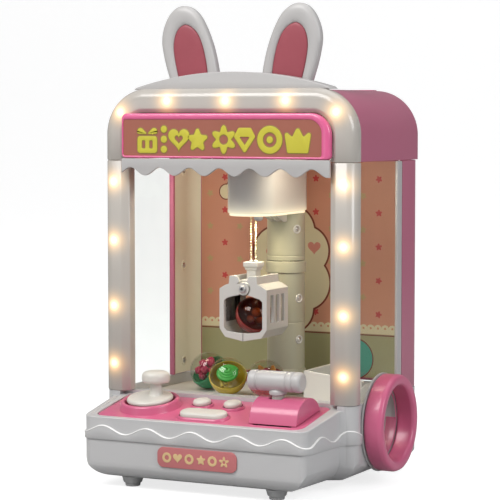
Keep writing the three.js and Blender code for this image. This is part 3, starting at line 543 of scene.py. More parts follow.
def from_cad(node, name, mat, bevel=0.4, angle=35, seg=3):
    """the CAD node's shape with welded corners and rounded edges"""
    src = frame["nodes"][node]
    me = src.data.copy()
    me.materials.clear()
    if "custom_normal" in me.attributes:
        me.attributes.remove(me.attributes["custom_normal"])
    o = bpy.data.objects.new(name, me); COL.objects.link(o)
    return done(o, name, mat, body_of[node], node, bevel=bevel, angle=angle, seg=seg, dissolve=True)


body_of = {}
for b_, ns in frame["record"]["behaviour"]["bodies"].items():
    for n_ in ns:
        body_of[n_] = b_


def screw_head(c, axis, r=2.2, h=0.9, name="screw", body="cabinet", mat="steel"):
    """pan head with a cross recess"""
    ax = Vector(axis).normalized()
    o = lathe(soften([(0, 0), (r, 0), (r, h * 0.45), (r * 0.75, h), (0, h * 1.08)], 0.3, 3), c, ax, n=32)
    side = ax.orthogonal().normalized()
    for k in (0, 1):
        s = side if k == 0 else ax.cross(side).normalized()
        w = ax.cross(s).normalized()
        C = Vector(c) + ax * (h * 0.55)
        L, t = r * 0.62, r * 0.13
        corners = [C + s * (L * i) + w * (t * j) + ax * (hh) for hh in (0, h * 1.5) for i, j in ((-1, -1), (1, -1), (1, 1), (-1, 1))]
        cutter = raw([tuple(q) for q in corners], [(0, 1, 2, 3), (7, 6, 5, 4), (0, 4, 5, 1), (1, 5, 6, 2), (2, 6, 7, 3), (3, 7, 4, 0)])
        o = boolean(o, cutter)
    return done(o, name, mat, body, angle=30)

# ------------------------------------------------------------------ base
FY, RY = -57.0, 143.5
plan_pts = [(-96, FY), (96, FY), (99.5, -4), (107.5, 6), (107.5, RY), (-107.5, RY), (-107.5, 6), (-99.5, -4)]
PLAN = rounded(plan_pts, [8, 8, 5, 5, 20, 20, 5, 5], 14)
INPLAN = rounded([(-90.5, -54), (90.5, -54), (95.5, 6), (104.9, 12), (104.9, 140.9), (-104.9, 140.9), (-104.9, 12), (-95.5, 6)], [7, 7, 3, 3, 17.5, 17.5, 3, 3], 8)


def rodX(y, z, r, a, b, n=96):
    return prism("X", circ(y, z, r, n), a, b)


def rodZ(x, y, r, a, b, n=96):
    return prism("Z", circ(x, y, r, n), a, b)


def slab(x0, y0, z0, x1, y1, z1, r=0.0):
    return prism("Z", rect(x0, y0, x1, y1, r, 6) if r else [(x0, y0), (x1, y0), (x1, y1), (x0, y1)], z0, z1)


def bowl(half, z0, r, seg=18):
    """plan outline drawn in towards the bottom along a quarter circle"""
    pts = [(-x, y) for x, y in half] + list(reversed(half))
    if area(pts) < 0:
        pts = list(reversed(pts))
    rings = []
    for k in range(seg + 1):
        t = pi / 2 * (1 - k / seg)
        d = r * (1 - cos(t))
        rings.append([(p[0], p[1], z0 + r * (1 - sin(t))) for p in (offset(pts, d) if d > 1e-6 else pts)])
    rings.append([(p[0], p[1], 90) for p in pts])
    return loft(rings)


def sideX(y0, y1, b, r, seg=14):
    return prism("X", rounded([(y0, b), (y1, b), (y1, 90), (y0, 90)], [r, r, 0, 0], seg), -120, 120)


RC = (54.85, 49.3)
lower = prism("Z", PLAN, 8.2, 37.8)
lower = boolean(lower, rodZ(-100.4, 9.5, 9.7, 8.2, 37.8, 72), rodZ(100.4, 9.5, 9.7, 8.2, 37.8, 72), op="UNION")
lower = boolean(lower, bowl([(95.4, -66), (99.5, -4), (110.2, 2), (110.2, 152.5)], 8.19, 22), sideX(FY, RY, 8.2, 13), op="INTERSECT")
inner = boolean(prism("Z", INPLAN, 10.8, 39), bowl([(89.9, -63), (96.6, -1.6), (105.2, 5), (105.2, 149.9)], 10.79, 20, 8), sideX(-54, 140.9, 10.8, 11, 8), op="INTERSECT")
lower = boolean(lower, inner, rodX(*RC, 30.2, 90, 130), slab(-66, 52, 4, -10, 116, 14), slab(25, 138, 21, 40, 148, 28))
done(lower, "base_lower", "white", rep="base_lower_shell", angle=34)

upper = prism("Z", PLAN, 38, 68)
upper = boolean(upper, rodZ(-100.4, 9.5, 9.7, 38, 67.9, 72), rodZ(100.4, 9.5, 9.7, 38, 67.9, 72), op="UNION")
wedge = prism("X", [(-80, z_deck(-80) + 0.6), (7.6, z_deck(7.6) + 0.6), (7.6, 90), (-80, 90)], -95.6, 95.6)
wedge2 = prism("X", [(-80, z_deck(-80) + 0.6), (-0.8, z_deck(-0.8) + 0.6), (-0.8, 90), (-80, 90)], -120, 120)
well = prism("Z", rect(-89.4, -52.3, 89.4, 8.6, 8.4, 8), 20, 80)
upper = boolean(upper, wedge, wedge2, well, slab(-88, 8, 20, 88, 22, 60.2), prism("Z", rounded([(-104.9, 21.8), (104.9, 21.8), (104.9, 140.9), (-104.9, 140.9)], [2, 2, 17.5, 17.5], 10), 20, 80), rodX(*RC, 30.2, 90, 130))
done(upper, "base_upper", "white", rep="base_upper_shell", angle=34)

# outline round the base, from the rear left corner by the front to the rear right corner
half = []
for i, p in enumerate(PLAN):
    half.append(Vector(p))
right = [p for p in half if p.x > 0]
right.sort(key=lambda p: p.y)
seq = [Vector((x, FY)) for x in [k * 1.5 for k in range(0, 57)] if x < 84]
arc1 = [p for p in right if p.y < -2.5]
arc1.sort(key=lambda p: (p.y, p.x))
arc1 = [p for p in arc1 if not (abs(p.y - FY) < 1e-6 and p.x < 84)]
seq += arc1
last = seq[-1]
e0 = Vector((102.78, 0.096))
for k in range(1, 4):
    seq.append(last.lerp(e0, k / 4))
for k in range(0, 25):
    a = math.radians(-75.8 + (42.9 + 75.8) * k / 24)
    seq.append(Vector((100.4 + 9.7 * cos(a), 9.5 + 9.7 * sin(a))))
for k in range(1, 60):
    y = 16.1 + k * 1.8
    if y < 123.5:
        seq.append(Vector((107.5, y)))
for k in range(0, 11):
    a = math.radians(60 * k / 10)
    seq.append(Vector((87.5 + 20 * cos(a), 123.5 + 20 * sin(a))))
# even spacing
dense, acc = [seq[0]], 0.0
for a, b in zip(seq, seq[1:]):
    L = (b - a).length
    if L < 1e-4:
        continue
    k = max(1, int(L / 1.2))
    for i in range(1, k + 1):
        dense.append(a.lerp(b, i / k))


def side_path(sx):
    out, s = [], 0.0
    for i, p in enumerate(dense):
        if i:
            s += (p - dense[i - 1]).length
        a, b = dense[max(0, i - 1)], dense[min(len(dense) - 1, i + 1)]
        t = (b - a).normalized()
        nrm = Vector((t.y, -t.x))
        out.append((sx * p.x, p.y, sx * nrm.x, nrm.y, s * sx))
    return out


path = list(reversed(side_path(-1)[1:])) + side_path(1)


def wave_z(t):
    return 46.2 + 3 * cos(2 * pi * (t + 77.6) / 38.7)


def skirt_part(pts, name):
    """raised skirt with a rounded scalloped lower edge, following the outline"""
    rings = []
    for x, y, nx, ny, s in pts:
        w = wave_z(s)
        prof = [(-0.6, 38.05), (0.95, 38.05), (1.2, 38.35), (1.2, w - 0.8), (1.05, w - 0.3), (0.55, w), (-0.05, w + 0.05), (-0.6, w + 0.05)]
        rings.append([(x + nx * o, y + ny * o, z) for o, z in prof])
    return loft(rings, closed=True, cap0=True, cap1=True)


flags = [not (x > 0 and (y - RC[0]) ** 2 + (47 - RC[1]) ** 2 < 40.2 ** 2 and x > 106 and y > 15) for x, y, nx, ny, s in path]
run, runs = [], []
for p, ok in zip(path, flags):
    if ok:
        run.append(p)
    elif run:
        runs.append(run); run = []
if run:
    runs.append(run)
for i, r_ in enumerate(runs):
    if len(r_) > 3:
        done(skirt_part(r_, "s"), f"skirt_wave_{i}", "white", angle=60)

# bead on the wave in a near-white plastic: painted highlight along the wave's edge
for i, r_ in enumerate(runs):
    if len(r_) > 3:
        rings = []
        for x, y, nx, ny, s_ in r_:
            w = wave_z(s_)
            prof = [(0.9, w - 0.75), (1.35, w - 0.7), (1.55, w - 0.4), (1.45, w - 0.05), (1.1, w + 0.2), (0.4, w + 0.3), (-0.3, w + 0.3), (-0.3, w - 0.75)]
            rings.append([(x + nx * o, y + ny * o, z) for o, z in prof])
        done(loft(rings, closed=True, cap0=True, cap1=True), f"skirt_highlight_bead_{i}", "line", angle=60)

# rounded lip along the top edge in front of the posts
lip = []
for x, y, nx, ny, s_ in path:
    if y < -3.4:
        zt = z_deck(y) + 0.6
        prof = [(-4.3, zt - 0.8), (-0.5, zt - 0.8), (0.06, zt - 0.75), (0.1, zt - 0.35), (-0.05, zt + 0.1), (-0.45, zt + 0.4), (-1.0, zt + 0.5), (-3.4, zt + 0.5), (-3.9, zt + 0.4), (-4.3, zt + 0.05)]
        lip.append([(x + nx * o, y + ny * o, z) for o, z in prof])
done(loft(lip, closed=True, cap0=True, cap1=True), "base_lip", "white", angle=60)

# plaque with generic marks
pl = prism("Y", rect(-29, 20.6, 39, 36.3, 5.2, 12), FY - 1.3, FY - 0.3, bevel=0.45, bevel_b=0.0)
done(pl, "plaque", "plaque", rep="base_plaque", angle=50)


def heart(cx, cz, s, n=40):
    return [(cx + s * 0.062 * 16 * sin(t) ** 3, cz + s * 0.062 * (13 * cos(t) - 5 * cos(2 * t) - 2 * cos(3 * t) - cos(4 * t)) + 0.12 * s) for t in [2 * pi * i / n for i in range(n)]]


def star(cx, cz, ro, ri, k=5, a0=pi / 2, r=0.0, seg=4):
    p = [(cx + (ro if i % 2 == 0 else ri) * cos(a0 + pi * i / k), cz + (ro if i % 2 == 0 else ri) * sin(a0 + pi * i / k)) for i in range(2 * k)]
    return rounded(p, r, seg) if r else p


def flower(cx, cz, r, k=5, depth=0.28, n=60, a0=pi / 2):
    return [(cx + r * (1 - depth + depth * cos(k * (t - a0))) * cos(t), cz + r * (1 - depth + depth * cos(k * (t - a0))) * sin(t)) for t in [2 * pi * i / n for i in range(n)]]


def mark(pts, holes=(), y0=0.0, th=0.3, bev=0.1):
    return prism("Y", pts if area(pts) > 0 else list(reversed(pts)), y0 - th, y0, bevel=bev, bevel_b=0, holes=[h if area(h) > 0 else list(reversed(h)) for h in holes])


pm, zc, yp = [], 28.4, FY - 1.28
pm.append(mark(circ(-20.5, zc, 3.9, 40), [circ(-20.5, zc, 1.9, 32)], yp))
pm.append(mark(heart(-11.2, zc, 3.9), (), yp))
pm.append(mark(circ(-1.2, zc, 3.9, 40), [circ(-1.2, zc, 1.9, 32)], yp))
pm.append(mark(star(9.0, zc, 4.6, 2.1, r=0.5), (), yp))
pm.append(mark(circ(18.6, zc, 3.9, 40), [circ(18.6, zc, 1.9, 32)], yp))
pm.append(mark(flower(28.6, zc, 4.3), [circ(28.6, zc, 1.2, 24)], yp))
done(join(pm), "plaque_marks", "plaque_mark", angle=40)

for nm, x, y in (("front_left", -62.7, -37.2), ("front_right", 62.7, -37.2), ("rear_left", -62.7, 125), ("rear_right", 62.7, 125)):
    f = lathe(soften([(0, 0.5), (4.4, 0.5), (4.6, 0), (5.6, 0), (5.9, 0.6), (5.9, 2.2), (7.2, 3), (8.6, 7.9), (0, 7.9)], 0.35), (x, y, 0), n=64)
    done(f, "foot_" + nm + "_pad", "rubber", rep="foot_" + nm)

# ------------------------------------------------------------------ play area
from_cad("play_floor", "play_floor_plate", "warm", bevel=0.4)
from_cad("prize_fence", "fence", "warm", bevel=0.55)
from_cad("prize_chute", "chute", "warm", bevel=0.4)
cR = (0, RC[0], RC[1])
XA = (1, 0, 0)
fl = lathe(soften([(28.7, 97), (29.9, 97), (29.9, 107.85), (38.6, 107.85), (38.6, 109.4), (28.7, 109.4)], 0.45, closed=True), cR, XA, n=144, closed=True)
done(fl, "ring_flange", "flange", rep="outlet_flange")
rp = soften([(29.4, 109.7), (36.8, 109.7), (38, 111), (38, 121.8), (36.9, 124.2), (35.2, 125), (32.8, 125), (30.6, 124.4), (29.4, 122.4)], 1.4, 5, closed=True)
done(lathe(rp, cR, XA, n=160, closed=True), "ring_body", "pink_deck", rep="prize_ring")
# stepped inner sleeve, lower half
q0 = Vector((0, 0, 1)).rotation_difference(Vector((1, 0, 0)))
t0 = q0 @ Vector((1, 0, 0))                     # where the turning starts
start = math.atan2(t0.z, t0.y)
sl = lathe(soften([(28.3, 101), (28.3, 110), (26.5, 110), (26.5, 104.2), (27.2, 104.2), (27.2, 101)], 0.3, closed=True), cR, XA, n=96, closed=True)
cutb = slab(90, 10, RC[1], 109.7, 110, 120)
done(boolean(sl, cutb), "ring_sleeve", "pink")

# ------------------------------------------------------------------ control deck
UP = Vector((0, -sin(TILT), cos(TILT)))
sx, sv = -55.7, (-21 + 51.5) / cos(TILT)
panel = prism("D", rect(-89, 0.2, 89, 59.9, 8, 14), -3, 0, bevel_b=0.9)
ov = lambda g, seg=18: rect(0.4 - 19.6 - g, 14.2 - 8 - g, 0.4 + 19.6 + g, 14.2 + 8 + g, 8 + g - 0.001, seg)
panel = boolean(panel, prism("D", circ(sx, sv, 7, 64), -6, 3), prism("D", rect(45.5, 6, 78.5, 41, 1.5), -7, 4),
                prism("D", circ(-14.8, 40.6, 4.6, 48), -6, 3), prism("D", circ(12.2, 40.8, 4.6, 48), -6, 3), prism("D", ov(-4), -6, 3))
done(panel, "deck_panel", "pink_deck", rep="control_panel", angle=40)
c = D(sx, sv, 0)
col = lathe(soften([(19.6, -0.4), (19.6, 4.9), (20.4, 6.2), (22.0, 6.4), (23.2, 5.4), (23.9, 2.4), (24.6, 0.2), (24.9, -0.4)], 0.9, 4, closed=True), c, UP, n=144, closed=True)
done(col, "stick_collar", "pink_deck", angle=50)
for nm, x, v, r in (("left", -14.8, 40.6, 7.15), ("right", 12.2, 40.8, 7.15)):
    bz = lathe(soften([(r + 0.35, -0.4), (r + 0.35, 1.7), (r + 0.8, 2.1), (r + 1.5, 1.7), (r + 2.3, -0.1), (r + 2.3, -0.4)], 0.35, 4, closed=True), D(x, v, 0), UP, n=96, closed=True)
    done(bz, "bezel_" + nm, "pink_deck", angle=50)
    cap = lathe(soften([(0, -6), (4.2, -6), (4.2, 1.8), (r, 1.8), (r, 4.0), (r * 0.9, 5.1), (r * 0.62, 5.9), (r * 0.3, 6.3), (0, 6.4)], 0.8, 4), D(x, v, 0), UP, n=96)
    done(cap, "cap_" + nm, "warm", "button_" + nm, "button_" + nm, angle=50)


def dome_plate(outline, levels, axis="D"):
    """closed rings: (inset, height) pairs from the bottom to the top"""
    f = AX[axis]
    return loft([[f(p, h) for p in (offset(outline, d) if abs(d) > 1e-6 else outline)] for d, h in levels])


obz = loft([[D(p[0], p[1], h) for p in ov(g)] for g, h in ((0.35, -0.4), (0.35, 1.6), (0.7, 2.05), (1.4, 1.8), (2.3, 0.0), (2.3, -0.4))], cap0=False, cap1=False, loop=True)
done(obz, "bezel_oval", "pink_deck", angle=50)
oc = loft([[D(p[0], p[1], h) for p in ov(g)] for g, h in ((-4.4, -6), (-4.4, 1.8), (0, 1.8), (0, 3.6), (-0.35, 4.4), (-1.1, 4.95), (-2.6, 5.3), (-5, 5.48), (-7.2, 5.5))])
done(oc, "cap_oval", "warm", "button_oval", "button_oval", angle=50)

# joystick
cy, cz = D(sx, sv, 7)[1:]
disc = lathe(soften([(0, -2), (17.4, -2), (18.25, -1.2), (18.25, 0.4), (17.2, 1.5), (13.5, 2.2), (8, 2.6), (0, 2.8)], 0.7, 4), (sx, cy, cz), UP, n=144)
done(disc, "stick_disc", "warm", "stick", "joystick_stick", angle=50)
kp = [(0, -2), (6.6, -1.4), (6.2, 0.4), (5.3, 2.4), (4.85, 4.6), (4.75, 7.5), (4.75, 11.2), (9.4, 11.3), (10.6, 12.2), (11.05, 13.6), (11.05, 16.4), (10.6, 18.2), (9.4, 19.6), (7.0, 20.5), (3.5, 20.85), (0, 20.9)]
done(lathe(soften(kp, 0.9, 4), (sx + 4.4, cy + 1.8, cz + 0.9), (0, 0, 1), n=120), "stick_knob", "warm", "stick", angle=50)
done(lathe(soften([(0, -15), (2, -15), (2, 0), (0, 0)], 0.3), (sx, cy, cz), UP, n=32), "stick_pin", "steel", "stick")
from_cad("joystick_gimbal", "gimbal_plate", "steel", bevel=0.3)

# lever housing and cross handle
ly, lz = -22.0, 57.0


def hump(r, y0, y1, drop, n=48):
    p = [(y0, z_deck(y0) - drop), (y1, z_deck(y1) - drop)]
    for i in range(n + 1):
        a = pi * (0.06 + 0.88 * i / n)
        p.append((ly + r * 1.12 * cos(a), lz + r * sin(a) ** 0.8))
    return p


def smooth_hump(r, y0, y1, drop):
    p = hump(r, y0, y1, drop)
    return p if area(p) > 0 else list(reversed(p))


from_cad("lever_housing", "lever_hump", "pink_deck", bevel=0.5, angle=40)
q = Matrix.Rotation(0.12, 3, "X") @ Vector((0, 0, 1))
done(lathe(soften([(0, 0), (5.6, 0), (5.2, 3), (4.9, 6), (4.9, 29), (0, 29)], 0.6), (57.5, ly, lz), q, n=64), "lever_stem", "warm", "lever", "lever_handle")
gp = [(0, -22), (6.2, -22), (7.4, -21.2), (7.8, -20), (7.8, -15.4), (7.1, -15.1), (7.1, -13.6), (7.8, -13.3), (7.8, 9.6), (7.1, 9.9), (7.1, 11.2), (7.8, 11.5), (7.8, 14.6), (7.1, 14.9), (7.1, 16.2), (7.8, 16.5), (7.8, 20.4), (7.0, 21.9), (5.2, 22.4), (4.6, 22.0), (0, 22.0)]
done(lathe(soften(gp, 0.35, 3), (56.6, ly - 3.7, lz + 30.8), XA, n=96), "lever_grip", "white2", "lever", angle=40)
done(lathe(soften([(0, 50), (5.6, 50), (5.6, 65), (0, 65)], 0.5), (0, ly, lz), XA, n=64), "lever_hub", "warm", "lever")
done(lathe(soften([(5.2, 20.4), (7.0, 21.6), (6.9, 24.2), (5.0, 26.2), (4.9, 20.4)], 0.5, closed=True), (57.5, ly, lz), q, n=64, closed=True), "lever_neck", "white2", "lever")

# ------------------------------------------------------------------ lit frame
# section of the cover: u outwards from the middle line, y front to back
SEC = rounded([(-12.7, 3), (-6.9, -1), (9.1, -1), (9.1, 12.6), (-12.3, 12.6)], [1.6, 2.5, 8.5, 2, 1.5], 10)
SEC_A = rounded([(-9.5, 1.6), (-6.2, -1), (9.5, -1), (9.5, 12.6), (-9.5, 12.6)], [1.4, 2.5, 8.5, 2, 1.5], 10)


def post(sx_, z0, z1):
    rings = []
    for z, ins in ((z0, 0.5), (z0 + 0.5, 0), (z1 - 0.5, 0), (z1, 0.5)):
        pr = offset(SEC, ins) if ins else SEC
        rings.append([(sx_ * (CXP + u * 1.0), y, z) for u, y in pr])
    return loft(rings)


for nm, s in (("left", -1), ("right", 1)):
    done(post(s, 68.2, 253.1), "post_" + nm, "pearl", rep="light_post_" + nm, angle=50)
line = [(-CXP, 253.35, (-1, 0)), (-CXP, 253.85, (-1, 0))]
R_ = 26.8
for k in range(33):
    a = pi - k / 32 * pi / 2
    line.append((-(CXP - R_) + R_ * cos(a), 310 - 9.5 - R_ + R_ * sin(a), (cos(a), sin(a))))
for k in range(33):
    a = pi / 2 - k / 32 * pi / 2
    line.append(((CXP - R_) + R_ * cos(a), 310 - 9.5 - R_ + R_ * sin(a), (cos(a), sin(a))))
line += [(CXP, 253.85, (1, 0)), (CXP, 253.35, (1, 0))]
rings = []
for i, (x, z, (nx, nz)) in enumerate(line):
    f = min(1.0, min(i, len(line) - 1 - i) / 30)
    pr = [(a[0] + (b[0] - a[0]) * f, a[1] + (b[1] - a[1]) * f) for a, b in zip(SEC, SEC_A)]
    if i in (0, len(line) - 1):
        pr = offset(pr, 0.5)
    rings.append([(x + nx * u, y, z + nz * u) for u, y in pr])
done(loft(rings), "arch_cover", "pearl", rep="light_arch", angle=50)
frame["nodes"]["led_strip"].data.materials.clear(); frame["nodes"]["led_strip"].data.materials.append(MAT["strip"])

# crest
bot, top = [], []
for i in range(81):
    x = -86 + 172 * i / 80
    bot.append((x, 309.2))
    top.append((x, max(309.6, 23 + math.sqrt(300 ** 2 - x * x))))
cr = bot + list(reversed(top[1:-1]))
done(prism("Y", cr, 7, 21.6, bevel=0.5, bevel_b=0.4, seg=3), "crest_band", "white2", rep="crest", angle=50)

# ears
earL = [(-18, 309.4), (-19.9, 324), (-22.7, 337.3), (-26.3, 348.6), (-31.3, 360), (-37, 369), (-44.1, 374.4), (-51.4, 375.9), (-57.9, 373.9), (-63.7, 368.3), (-68.1, 359.5), (-70, 350.7), (-69.6, 343), (-66.8, 330.3), (-62.4, 316.2), (-60.8, 309.4)]
insL = [(-27.4, 312.4), (-28.5, 322.8), (-29.9, 332.2), (-32.7, 343.6), (-37, 353.1), (-42.7, 358.8), (-49.2, 360.9), (-55, 357.2), (-58.2, 350.3), (-59, 341.5), (-57.3, 330.1), (-54.4, 318), (-53.4, 312.4)]


def spline(pts, n):
    """smooth curve through the points, evenly spaced"""
    P_ = [Vector(p) for p in pts]
    P_ = [2 * P_[0] - P_[1]] + P_ + [2 * P_[-1] - P_[-2]]
    fine_ = []
    for i in range(1, len(P_) - 2):
        for k in range(16):
            t = k / 16
            a, b, c_, d = P_[i - 1], P_[i], P_[i + 1], P_[i + 2]
            fine_.append(0.5 * ((2 * b) + (c_ - a) * t + (2 * a - 5 * b + 4 * c_ - d) * t * t + (3 * b - a - 3 * c_ + d) * t ** 3))
    fine_.append(P_[-2])
    L = [0]
    for a, b in zip(fine_, fine_[1:]):
        L.append(L[-1] + (b - a).length)
    out, j = [], 0
    for i in range(n):
        s = L[-1] * i / (n - 1)
        while j < len(L) - 2 and L[j + 1] < s:
            j += 1
        f = (s - L[j]) / max(1e-9, L[j + 1] - L[j])
        out.append(fine_[j].lerp(fine_[j + 1], f))
    return out


EO, EI = spline(earL, 110), spline(insL, 110)
for nm, s in (("left", 1), ("right", -1)):
    def R(f, y, sh=0.0):
        pts = [EO[i].lerp(EI[i], f) for i in range(110)]
        return [(s * p.x, y, p.y) for p in pts]
    prof = [(0.16, 30.0), (0.05, 29.5), (0.0, 28.4), (0.0, 25.4), (0.04, 24.0), (0.14, 22.9), (0.30, 22.2), (0.5, 22.0), (0.70, 22.2), (0.86, 22.7), (0.95, 23.3), (1.0, 24.0), (1.0, 24.6)]
    o = loft([R(f, y) for f, y in prof])
    done(o, "ear_shell_" + nm, "white2", rep="ear_" + nm, angle=60)
    cc = Vector((sum(p.x for p in EI) / 110, sum(p.y for p in EI) / 110))
    rg = []
    for k, y in ((0.995, 24.5), (0.99, 23.9), (0.96, 23.55), (0.88, 23.3), (0.6, 23.0), (0.3, 22.9)):
        rg.append([(s * (cc.x + (p.x - cc.x) * k), y, cc.y + (p.y - cc.y) * k) for p in EI])
    done(loft(rg), "ear_inset_" + nm, "rose", rep="ear_insert_" + nm, angle=60)

# sign: rounded border, printed panel and raised generic marks
so = rounded([(-90.8, 255.4), (90.8, 255.4), (90.8, 290.6), (-90.8, 290.6)], [3, 3, 17, 4], 14)
si = rounded([(-89.4, 257.2), (83.6, 257.2), (83.6, 285.7), (-89.4, 285.7)], [1.2, 2, 11, 2], 14)


def between(f, y):
    return [(a[0] + (b[0] - a[0]) * f, y, a[1] + (b[1] - a[1]) * f) for a, b in zip(so, si)]


bd = loft([between(f, y) for f, y in ((0.02, 0.4), (0, 0.0), (0, -3.4), (0.05, -4.1), (0.18, -4.7), (0.38, -5.0), (0.6, -5.0), (0.82, -4.8), (0.94, -4.4), (1, -3.9), (1, 0.0), (0.98, 0.4))], loop=True)
done(bd, "sign_border", "hot", rep="sign_board", angle=60)
done(prism("Y", offset(si, -0.6), -4.0, 0.2), "sign_panel", "panel")
zc = 270.2
marks, edges_ = [], []


def icon(pts, holes=()):
    pts, holes = [(p[0] + 4.0, p[1]) for p in pts], [[(p[0] + 4.0, p[1]) for p in h] for h in holes]
    marks.append(mark(pts, holes, -3.98, 0.42, 0.14))
    pts2 = pts if area(pts) > 0 else list(reversed(pts))
    hs2 = [h if area(h) > 0 else list(reversed(h)) for h in holes]
    edges_.append(mark(offset(pts2, -0.75), [offset(h, 0.75) for h in hs2 if abs(area(h)) > 8], -3.98, 0.16, 0.05))


# gift box
icon(rect(-80.4, 259.4, -62.8, 272.6, 2.4), [rect(-76.6, 262.8, -73.3, 269.4, 1), rect(-69.9, 262.8, -66.6, 269.4, 1)])
icon([(x * 1.0 - 71.6, z) for x, z in rounded([(0, 274.2), (8.4, 282.2), (9.4, 274.6)], [0.6, 3, 2], 8)])
icon([(x * 1.0 - 71.6, z) for x, z in rounded([(0, 274.2), (-9.4, 274.6), (-8.4, 282.2)], [0.6, 2, 3], 8)])
# three dots
for z_ in (262.3, 270.2, 278.1):
    icon(circ(-56.6, z_, 2.7, 36))
icon(heart(-43.2, zc - 0.2, 9.4, 72), [heart(-43.2, zc - 0.2, 3.8, 40)])
icon(star(-26.6, zc - 0.6, 11.2, 5.2, r=1.5, seg=6))
icon(flower(-3.6, zc, 11.0, 6, 0.2, 96), [circ(-3.6, zc, 4.0, 40)])
icon(rounded([(14.6, 259.6), (23.8, 272.6), (20.0, 279.4), (9.2, 279.4), (5.4, 272.6)], [1.4, 1.6, 1.8, 1.8, 1.6], 6), [rounded([(14.6, 265.8), (19.4, 272.4), (9.8, 272.4)], [0.6, 0.6, 0.6], 4)])
icon(circ(36.2, zc, 10.6, 80), [circ(36.2, zc, 5.9, 64)])
icon(circ(36.2, zc, 2.6, 36))
icon(rounded([(51.2, 260.2), (68.6, 260.2), (71.4, 277.8), (64.6, 272.2), (59.9, 280.8), (55.2, 272.2), (48.4, 277.8)], [1.6, 1.6, 1.6, 1.2, 1.8, 1.2, 1.6], 6))
done(join(edges_), "sign_mark_edges", "olive", angle=40)
done(join(marks), "sign_marks", "yellow", angle=40)

sc = [(-90.8 + 181.6 * i / 240, 244.7 - 3.1 * cos(2 * pi * (-90.8 + 181.6 * i / 240 + 69.6) / 26.45)) for i in range(241)]
done(prism("Y", sc + [(90.8, 255), (-90.8, 255)], -5.2, -2.6, bevel=0.55, bevel_b=0.4, seg=3), "valance_trim", "white2", rep="valance", angle=50)

# ------------------------------------------------------------------ rear housing
WR, RT = 106.5, 309.0
ro = [(WR, 253.5)]
for k in range(25):
    a = pi / 2 * k / 24
    ro.append((WR - 36 + 36 * cos(a), RT - 36 + 36 * sin(a)))
for k in range(25):
    a = pi / 2 + pi / 2 * k / 24
    ro.append((-WR + 36 + 36 * cos(a), RT - 36 + 36 * sin(a)))
ro.append((-WR, 253.5))


def shrink(p, d, d0=None):
    """the arch outline moved inwards, its two feet kept on the seam"""
    o = []
    n = len(p)
    for i, (x, z) in enumerate(p):
        if i in (0, n - 1):
            o.append((x - math.copysign(d, x), z)); continue
        cx_, cz_ = math.copysign(WR - 36, x), RT - 36
        v = Vector((x - cx_, z - cz_)); v.normalize()
        o.append((x - v.x * d, z - v.y * d))
    return o


rings = []
for y, d in ((13.1, 0.5), (13.6, 0.0)):
    rings.append([(x, y, z) for x, z in shrink(ro, d)])
for k in range(13):
    a = pi / 2 * k / 12
    rings.append([(x, 131.5 + 12 * sin(a), z) for x, z in shrink(ro, 12 * (1 - cos(a)))])
outer_n = len(rings)
inner_rings = []
for k in range(12, -1, -1):
    a = pi / 2 * k / 12
    inner_rings.append([(x, 131.0 + 10 * sin(a), z) for x, z in shrink(ro, 2.4 + 10 * (1 - cos(a)))])
inner_rings.append([(x, 13.1, z) for x, z in shrink(ro, 2.4)])
allr = rings + inner_rings
n = len(ro)
verts = [p for r in allr for p in r]
faces = []
m = len(allr)
for k in range(m):
    k2 = (k + 1) % m
    if k == outer_n - 1:
        continue
    for i in range(n - 1):
        faces.append((k * n + i, k * n + i + 1, k2 * n + i + 1, k2 * n + i))
faces.append(tuple((outer_n - 1) * n + i for i in range(n)))
faces.append(tuple(outer_n * n + n - 1 - i for i in range(n)))
# bottom edge on both sides and along the back
for i in (0, n - 1):
    for k in range(outer_n - 1):
        a_, b_ = k, m - 1 - k
        if b_ - 1 >= outer_n:
            faces.append((a_ * n + i, (a_ + 1) * n + i, (b_ - 1) * n + i, b_ * n + i))
k = outer_n - 1
faces.append((k * n, k * n + n - 1, (k + 1) * n + n - 1, (k + 1) * n))
roof = raw(verts, faces)
roof = boolean(roof, prism("Z", rect(52, 120, 70, 132, 2.5, 6), 295, 330))
done(roof, "roof_cover", "pink", rep="roof_shell", angle=40)
lipr = [[(p[0], p[1], h) for p in rect(52 - g, 120 - g, 70 + g, 132 + g, 2.5 + g, 8)] for g, h in ((0.1, 306.8), (0.1, 309.3), (0.5, 309.7), (1.3, 309.5), (1.8, 308.9), (1.8, 306.8))]
done(loft(lipr, cap0=False, cap1=False, loop=True), "roof_slot_lip", "pink", angle=50)

